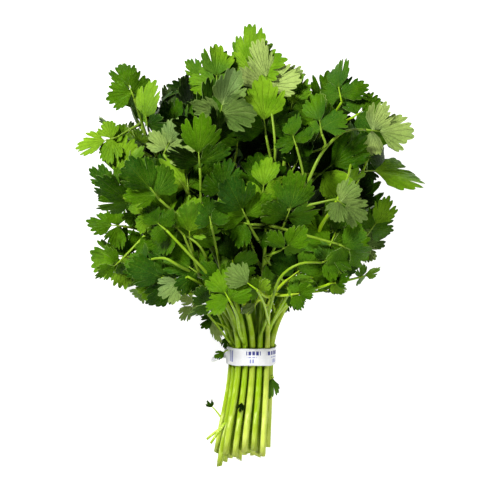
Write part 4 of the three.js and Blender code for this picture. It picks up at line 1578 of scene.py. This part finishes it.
def stalk_finish():
    """Stalk skin: yellow-green and paler towards the cut end, with fine dark streaks along it and pale
    streaks that are painted highlights, strong towards the cut end and faint up by the head.
    """
    finish = Finish("stalk_skin")
    place = finish.place()
    up = finish.x_and_y(place)[1].span(*STALK_LOOK["height"])
    patches = (finish.noise(place, *STALK_LOOK["patches"]) - 0.5) * STALK_LOOK["patchy"]
    base = finish.ramp(up + patches + finish.tone() * STALK_LOOK["own"], STALK_LOOK["tones"])
    inputs = {"Vector": finish.uv("UVMap"), "Scale": STALK_LOOK["drawn_out"]}
    streaks = finish.noise(finish.add("ShaderNodeMapping", "Vector", inputs), *STALK_LOOK["streaks"])
    # Pale streaks: painted highlights, strong towards the cut end and faint on the neck.
    light = streaks.span(0.5, 0.68) * up.span(0.15, 0.6, 0.8, 0.05)
    skin = finish.mix(light, base, colour(*STALK_LOOK["light"]))
    skin = finish.mix(streaks.span(0.28, 0.45, 0.55, 0.0), skin, colour(*STALK_LOOK["dark"]))
    return finish.done(finish.skin(
        skin, 0.34, Specular_IOR_Level=0.2, Specular_Tint=(0.9, 1.0, 0.5, 1.0), Subsurface_Weight=0.15,
        Subsurface_Radius=(0.002, 0.003, 0.0006), Normal=finish.bump(streaks, 0.5, 0.0004),
    ))


def tie_finish():
    """White coated paper with fine creases, and a plain pattern of bars made of ticks."""
    finish = Finish("tie_paper")
    place = finish.place()
    along, over = finish.x_and_y(finish.uv("strip"))
    paper = finish.mix(finish.noise(place, 900.0, 3.0, 0.6), colour(232, 233, 242), colour(252, 252, 255))
    repeat = along.folded(PRINT["repeat"])
    ticks = (along * PRINT["ticks"]).folded().span(0.14, 0.17)
    for low, high, bottom, top, shade in PRINT["bars"]:
        bar = repeat.within(low, high, 0.0006) * over.within(bottom, top, 0.02)
        paper = finish.mix(bar * ticks, paper, shade)
    relief = finish.bump(finish.noise(place, 220.0, 4.0, 0.6), 0.35, 0.0006)
    return finish.done(finish.skin(paper, 0.42, Specular_IOR_Level=0.4, Normal=relief))


def cut_finish():
    """The pale, wet cut end of a stalk."""
    finish = Finish("stalk_cut")
    grain = finish.noise(finish.place(), 1500.0, 2.0, 0.6)
    skin = finish.ramp(grain, ((0.3, (196, 214, 140)), (0.7, (228, 236, 184))))
    return finish.done(finish.skin(skin, 0.3, Normal=finish.bump(grain, 0.4, 0.0002)))


def floor_finish():
    finish = Finish("floor_white")
    return finish.done(finish.skin(
        (0.4, 0.4, 0.4, 1), 0.9, Specular_IOR_Level=0.1, Emission_Color=(1, 1, 1, 1), Emission_Strength=0.93,
    ))


# The tie's plain pattern: each bar's start and stop along the strip in tenths of a metre, its lower and upper
# edges in shares of the strip's width, and its colour.
NAVY = colour(44, 52, 140)
LAVENDER = colour(140, 146, 206)
PRINT = {
    "repeat": 0.36,
    "ticks": 36.0,
    "bars": [
        (0.02, 0.125, 0.62, 0.84, NAVY),
        (0.05, 0.12, 0.46, 0.52, LAVENDER),
        (0.07, 0.1, 0.16, 0.38, LAVENDER),
        (0.22, 0.27, 0.2, 0.86, LAVENDER),
        (0.335, 0.36, 0.14, 0.86, NAVY),
    ],
}

# Leaf colours, by tone. Tone holds painted light and painted shade as well as each leaflet's own brightness,
# so the near-black end of these ramps is partly painted shade.
LEAF_UPPER = leaf_finish("leaf_upper", {
    "tones": ((0.0, (2, 18, 0)), (0.3, (30, 68, 0)), (0.65, (68, 112, 4)), (1.0, (120, 160, 30))),
    "cool": (28, 76, 28), "vein": (136, 170, 50), "glow": (120, 162, 8),
    "roughness": 0.32, "through": 0.09, "bump": 0.85,
})
LEAF_UNDER = leaf_finish("leaf_under", {
    "tones": ((0.0, (40, 70, 20)), (0.4, (96, 124, 54)), (0.7, (128, 152, 74)), (1.0, (156, 178, 96))),
    "cool": (96, 126, 80), "vein": (180, 200, 122), "glow": (110, 160, 30),
    "roughness": 0.5, "through": 0.1, "bump": 1.0,
})
STALK_SKIN = stalk_finish()
STALK_CUT = cut_finish()


# ---- The bunch ---------------------------------------------------------------------------------------

for plan in plans:
    dress(plan)
stand_out()
add_shoots()
fill_head()
fill_ground()
for plan in plans:
    add_stalk(plan)
    add_leaflets(plan)
add_tie()


# ---- Floor, lights and camera ------------------------------------------------------------------------

FIELD = 0.3456  # the width that the camera sees at the height of the head
CAMERA = {"over": (-0.0058, 0.0052), "focus": 0.06, "away": 3.0, "sensor": 36}


def add_floor():
    made = bmesh.new()
    bmesh.ops.create_grid(made, x_segments=1, y_segments=1, size=3)
    floor = in_scene("floor", finished(made, bpy.data.meshes.new("floor")))
    floor.data.materials.append(floor_finish())


def add_light(name, place, size, watts, tint):
    light = bpy.data.lights.new(name, "AREA")
    light.shape = "DISK"
    light.size = size
    light.energy = watts
    light.color = tint
    lamp = in_scene(name, light)
    lamp.location = place
    lamp.rotation_mode = "QUATERNION"
    lamp.rotation_quaternion = (-Vector(place)).to_track_quat("-Z", "Y")


def add_camera():
    lens = bpy.data.cameras.new("camera")
    lens.sensor_width = CAMERA["sensor"]
    lens.lens = CAMERA["sensor"] * CAMERA["away"] / FIELD
    lens.clip_end = 10
    camera = in_scene("camera", lens)
    camera.location = (*CAMERA["over"], CAMERA["focus"] + CAMERA["away"])
    bpy.context.scene.camera = camera


def add_world():
    world = bpy.data.worlds.new("studio")
    world.use_nodes = True
    background = world.node_tree.nodes["Background"]
    background.inputs["Color"].default_value = (0.95, 0.98, 1.0, 1)
    background.inputs["Strength"].default_value = 0.015
    bpy.context.scene.world = world


add_floor()
add_light("key", (-0.8, 0.9, 1.3), 0.4, 54, (1.0, 0.99, 0.95))
add_light("second", (0.75, -0.8, 1.25), 0.6, 16, (1.0, 1.0, 0.97))
add_camera()
add_world()
bpy.context.scene.view_settings.view_transform = "Standard"
